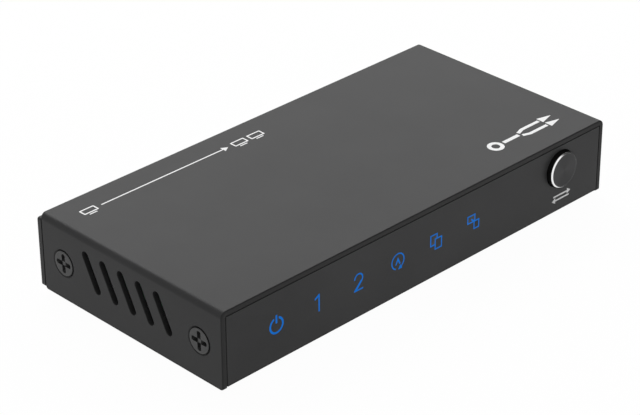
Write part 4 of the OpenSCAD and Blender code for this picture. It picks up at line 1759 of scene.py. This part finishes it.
@dataclass
class Inside:
    """The CAD nodes that keep their shape: each gets the finish of its slot."""

    finishes: dict[str, Finish]

    def build(self) -> None:
        """Dresses every node that still shows."""
        for row in frame["record"]["subparts"]:
            node = frame["nodes"][row["node"]]
            if node.hide_render:
                continue
            finish = self.finishes[row["material_slot"]]
            node.data.materials.clear()
            node.data.materials.append(finish.material())
            LOG.info("%s: %s", row["node"], finish.name)


@dataclass(frozen=True)
class Softbox:
    """A rectangular lamp aimed at the object. Azimuth 0 is the front, and 90 the right side."""

    name: str
    azimuth: float
    elevation: float
    distance: float
    width: float
    height: float
    power: float

    def hang(self, target: Vector) -> None:
        """Adds the lamp to the scene.

        Args:
            target: Point that it is aimed at.
        """
        lamp = bpy.data.lights.new(self.name, "AREA")
        lamp.shape, lamp.energy = "RECTANGLE", self.power
        lamp.size, lamp.size_y = self.width, self.height
        holder = bpy.data.objects.new(self.name, lamp)
        bpy.context.scene.collection.objects.link(holder)
        out = bearing(self.azimuth, self.elevation)
        holder.location = target + out * self.distance
        holder.rotation_euler = out.to_track_quat("Z", "Y").to_euler()
        holder.visible_camera = False


def bearing(azimuth: float, elevation: float) -> Vector:
    """Gives the direction from the object to a viewer, with angles in degrees."""
    turn, rise = math.radians(azimuth), math.radians(elevation)
    return Vector((math.sin(turn) * math.cos(rise), -math.cos(turn) * math.cos(rise), math.sin(rise)))


@dataclass(frozen=True)
class Viewpoint:
    """The camera, as fitted to the corners of the case in the photograph."""

    azimuth: float = -44.34
    elevation: float = 29.51
    roll: float = 0.37
    across: float = 2.26 * MM
    down: float = 5.49 * MM
    distance: float = 449.8 * MM
    behind: float = 24.05 * MM
    focal_pixels: float = 2373.3
    image_width: int = 640
    sensor: float = 36.0
    clip: float = 10 * MM

    def place(self) -> None:
        """Adds the camera and makes it the scene's own."""
        cover = Span.of("top_cover")
        target = Vector((cover.centre.x, cover.low.y + self.behind, cover.low.z))
        back = bearing(self.azimuth, self.elevation)
        right = (-back).cross(Vector((0.0, 0.0, 1.0))).normalized()
        below = (-back).cross(right)
        c, s = math.cos(math.radians(self.roll)), math.sin(math.radians(self.roll))
        right, below = right * c + below * s, below * c - right * s
        lens = bpy.data.cameras.new("photo_view")
        lens.sensor_width, lens.sensor_fit = self.sensor, "HORIZONTAL"
        lens.lens = self.focal_pixels * self.sensor / self.image_width
        lens.clip_start = self.clip
        holder = bpy.data.objects.new("photo_view", lens)
        bpy.context.scene.collection.objects.link(holder)
        turn = Matrix((right, -below, back)).transposed().to_4x4()
        place = target + back * self.distance - right * self.across - below * self.down
        holder.matrix_world = Matrix.Translation(place) @ turn
        bpy.context.scene.camera = holder


@dataclass
class Studio:
    """A white floor, an even sky and soft lamps. Mirrors see white at the front left and dim at the right."""

    lamps: Sequence[Softbox]
    sky_level: float = 0.5
    dim: float = 0.05
    facing: Vector = field(default_factory=lambda: Vector((-0.9, -0.43, 0.0)))
    dim_below: float = -0.35
    white_from: float = 0.15
    floor_reach: float = 3.0
    floor_colour: Colour = (0.86, 0.86, 0.86)
    shadow_share: float = 0.025
    shadow_near: float = 60 * MM
    shadow_far: float = 160 * MM
    white_left_of: float = 30 * MM
    dim_right_of: float = 60 * MM

    @staticmethod
    def seen(graph: Graph) -> Wire:
        """Tells rays from the camera, a mirror or clear plastic from those that carry light.

        Args:
            graph: The tree that asks.

        Returns:
            1 for the first kinds and 0 for the others.
        """
        path = graph.node("ShaderNodeLightPath")
        rays = (path.sibling("Is Camera Ray") + path.sibling("Is Glossy Ray")
                + path.sibling("Is Transmission Ray"))
        return graph.maths("MINIMUM", rays, 1.0)

    def sky(self) -> None:
        """Sets the world: an even light, and what mirrors show of it."""
        world = bpy.data.worlds.new("studio_sky")
        world.use_nodes = True
        graph = Graph(world.node_tree)
        light = graph.node("ShaderNodeBackground", None, {"Color": WHITE, "Strength": self.sky_level})
        direction = graph.node("ShaderNodeTexCoord").sibling("Generated")
        ahead = graph.node("ShaderNodeVectorMath", {"operation": "DOT_PRODUCT"},
                           {0: direction, 1: self.facing})
        level = ahead.step(self.dim_below, self.white_from) * (1.0 - self.dim) + self.dim
        shown = graph.node("ShaderNodeBackground", None, {"Color": WHITE, "Strength": level})
        mixed = graph.node("ShaderNodeMixShader", None, {0: self.seen(graph), 1: light, 2: shown})
        graph.plug(next(n for n in graph.tree.nodes if n.type == "OUTPUT_WORLD"), {"Surface": mixed})
        bpy.context.scene.world = world

    def floor(self) -> None:
        """Lays the floor: white but for the object's soft shadow, and dim at the right in mirrors."""
        bm = bmesh.new()
        bmesh.ops.create_grid(bm, x_segments=1, y_segments=1, size=self.floor_reach)
        floor = as_piece("studio_floor", bm)
        made = bpy.data.materials.new("studio_floor")
        made.use_nodes = True
        graph = Graph(made.node_tree)
        place = graph.place()
        away = graph.maths("SQRT", place * place + place.sibling("Y") * place.sibling("Y"))
        camera = graph.node("ShaderNodeLightPath").sibling("Is Camera Ray")
        share = (1.0 - away.step(self.shadow_near, self.shadow_far)) * self.shadow_share
        plain = graph.node("ShaderNodeBsdfDiffuse", None, {"Color": (*self.floor_colour, 1.0)})
        right = (place + place.sibling("Y")).step(self.white_left_of, self.dim_right_of) * (1.0 - camera)
        level = 1.0 - right * (1.0 - self.dim)
        white = graph.node("ShaderNodeEmission", None, {"Color": WHITE, "Strength": level})
        shown = graph.node("ShaderNodeMixShader", None, {0: share, 1: white, 2: plain})
        mixed = graph.node("ShaderNodeMixShader", None, {0: self.seen(graph), 1: plain, 2: shown})
        graph.plug(next(n for n in graph.tree.nodes if n.type == "OUTPUT_MATERIAL"), {"Surface": mixed})
        floor.data.materials.append(made)

    def build(self) -> None:
        """Sets up the floor, the sky and the lamps."""
        self.sky()
        self.floor()
        for lamp in self.lamps:
            lamp.hang(Span.of("top_cover").centre)
        bpy.context.scene.view_settings.view_transform = "Standard"


def main() -> None:
    """Builds every piece, the studio and the camera."""
    logging.basicConfig(level=logging.INFO, format="%(message)s")
    grey = (0.031, 0.031, 0.0314)
    panel_grey = (0.04, 0.04, 0.0405)
    black_steel = Blackened("screw_black", (0.031, 0.031, 0.031))
    plated = Metal("socket_plate", (0.62, 0.6, 0.56), 0.28)
    black = Moulded("socket_black", (0.012, 0.012, 0.013), 0.5)
    gold = Metal("contact_gold", (0.83, 0.6, 0.25), 0.22)
    lit = LitIcon("lit_icon", (0.001, 0.004, 0.01), (0.001, 0.14, 0.55), Span.of("icon_inlays").centre.z)
    Viewpoint().place()
    cover, panel = Span.of("top_cover"), Span.of("front_panel")
    # Painted shade: darker strips of the coat along the cover's front edges and along its feet.
    painted_edge_shade = (Band(Axis.Y, cover.low.y, half=0.3 * MM, shade=0.72),
                 Band(Axis.Z, cover.low.z, half=0.5 * MM, shade=0.6))
    Cover(Coat("cover_coat", grey, painted_edge_shade)).build()
    SideScrews(black_steel).build()
    # Painted shade: a darker strip of the coat along the panel's foot.
    painted_foot_shade = Band(Axis.Z, panel.low.z, half=0.5 * MM, shade=0.6)
    FrontPanel(Coat("panel_coat", panel_grey, (painted_foot_shade,))).build()
    rubber = Moulded("foot_rubber", (0.015, 0.015, 0.015), 0.8, grain=0.4 * MM, relief=0.03 * MM)
    Tray(Coat("tray_coat", grey), rubber).build()
    PushButton(face=(0.056, 0.056, 0.057), side=(0.006, 0.006, 0.006), bright=(0.9, 0.9, 0.9)).build()
    for prefix in ("input", "output_1", "output_2"):
        VideoSocket(prefix, plated, black, gold).build()
    PowerSocket(plated, black, gold).build()
    Marks(Ink("white_ink", (0.86, 0.86, 0.86))).build()
    Inside({
        "lit_icon": lit,
        "adhesive": Moulded("adhesive_black", (0.02, 0.02, 0.02), 0.6),
        "clear_guide": Clear("light_guide", (0.85, 0.9, 0.95), 0.12, clearness=0.9),
        "lamp": Moulded("lamp_white", (0.75, 0.78, 0.72), 0.4),
        "black_screw": black_steel,
        "bright_steel": Metal("bright_steel", (0.62, 0.62, 0.6), 0.3),
        "board_resin": SolderMask("solder_mask", (0.01, 0.07, 0.03), (0.03, 0.16, 0.06)),
        "standoff_brass": Metal("standoff_brass", (0.72, 0.52, 0.24), 0.32),
        "clear_sheet": Clear("insulating_sheet", (0.9, 0.9, 0.86), 0.3, clearness=0.7),
        "stem_plastic": Moulded("stem_plastic", (0.03, 0.03, 0.03), 0.5),
        "chip_resin": Moulded("chip_resin", (0.015, 0.015, 0.016), 0.62, grain=0.1 * MM, relief=0.01 * MM),
        "thermal_rubber": Moulded("thermal_rubber", (0.35, 0.42, 0.5), 0.75, grain=0.3 * MM,
                                  relief=0.02 * MM),
        "sink_metal": Metal("sink_metal", (0.5, 0.5, 0.52), 0.4),
        "can_metal": Metal("can_metal", (0.66, 0.66, 0.67), 0.3),
        "ceramic": Moulded("ceramic", (0.42, 0.32, 0.22), 0.45, grain=0.1 * MM, relief=0.004 * MM),
        "socket_shell": plated,
        "socket_black": black,
        "gold_contact": gold,
    }).build()
    right = Softbox("right_lamp", azimuth=128.0, elevation=33.0, distance=1.4,
                    width=1.2, height=1.0, power=8.6)
    rear = Softbox("rear_lamp", azimuth=167.0, elevation=47.0, distance=1.4,
                   width=0.7, height=1.2, power=9.0)
    Studio((right, rear)).build()


if __name__ == "__main__":
    main()
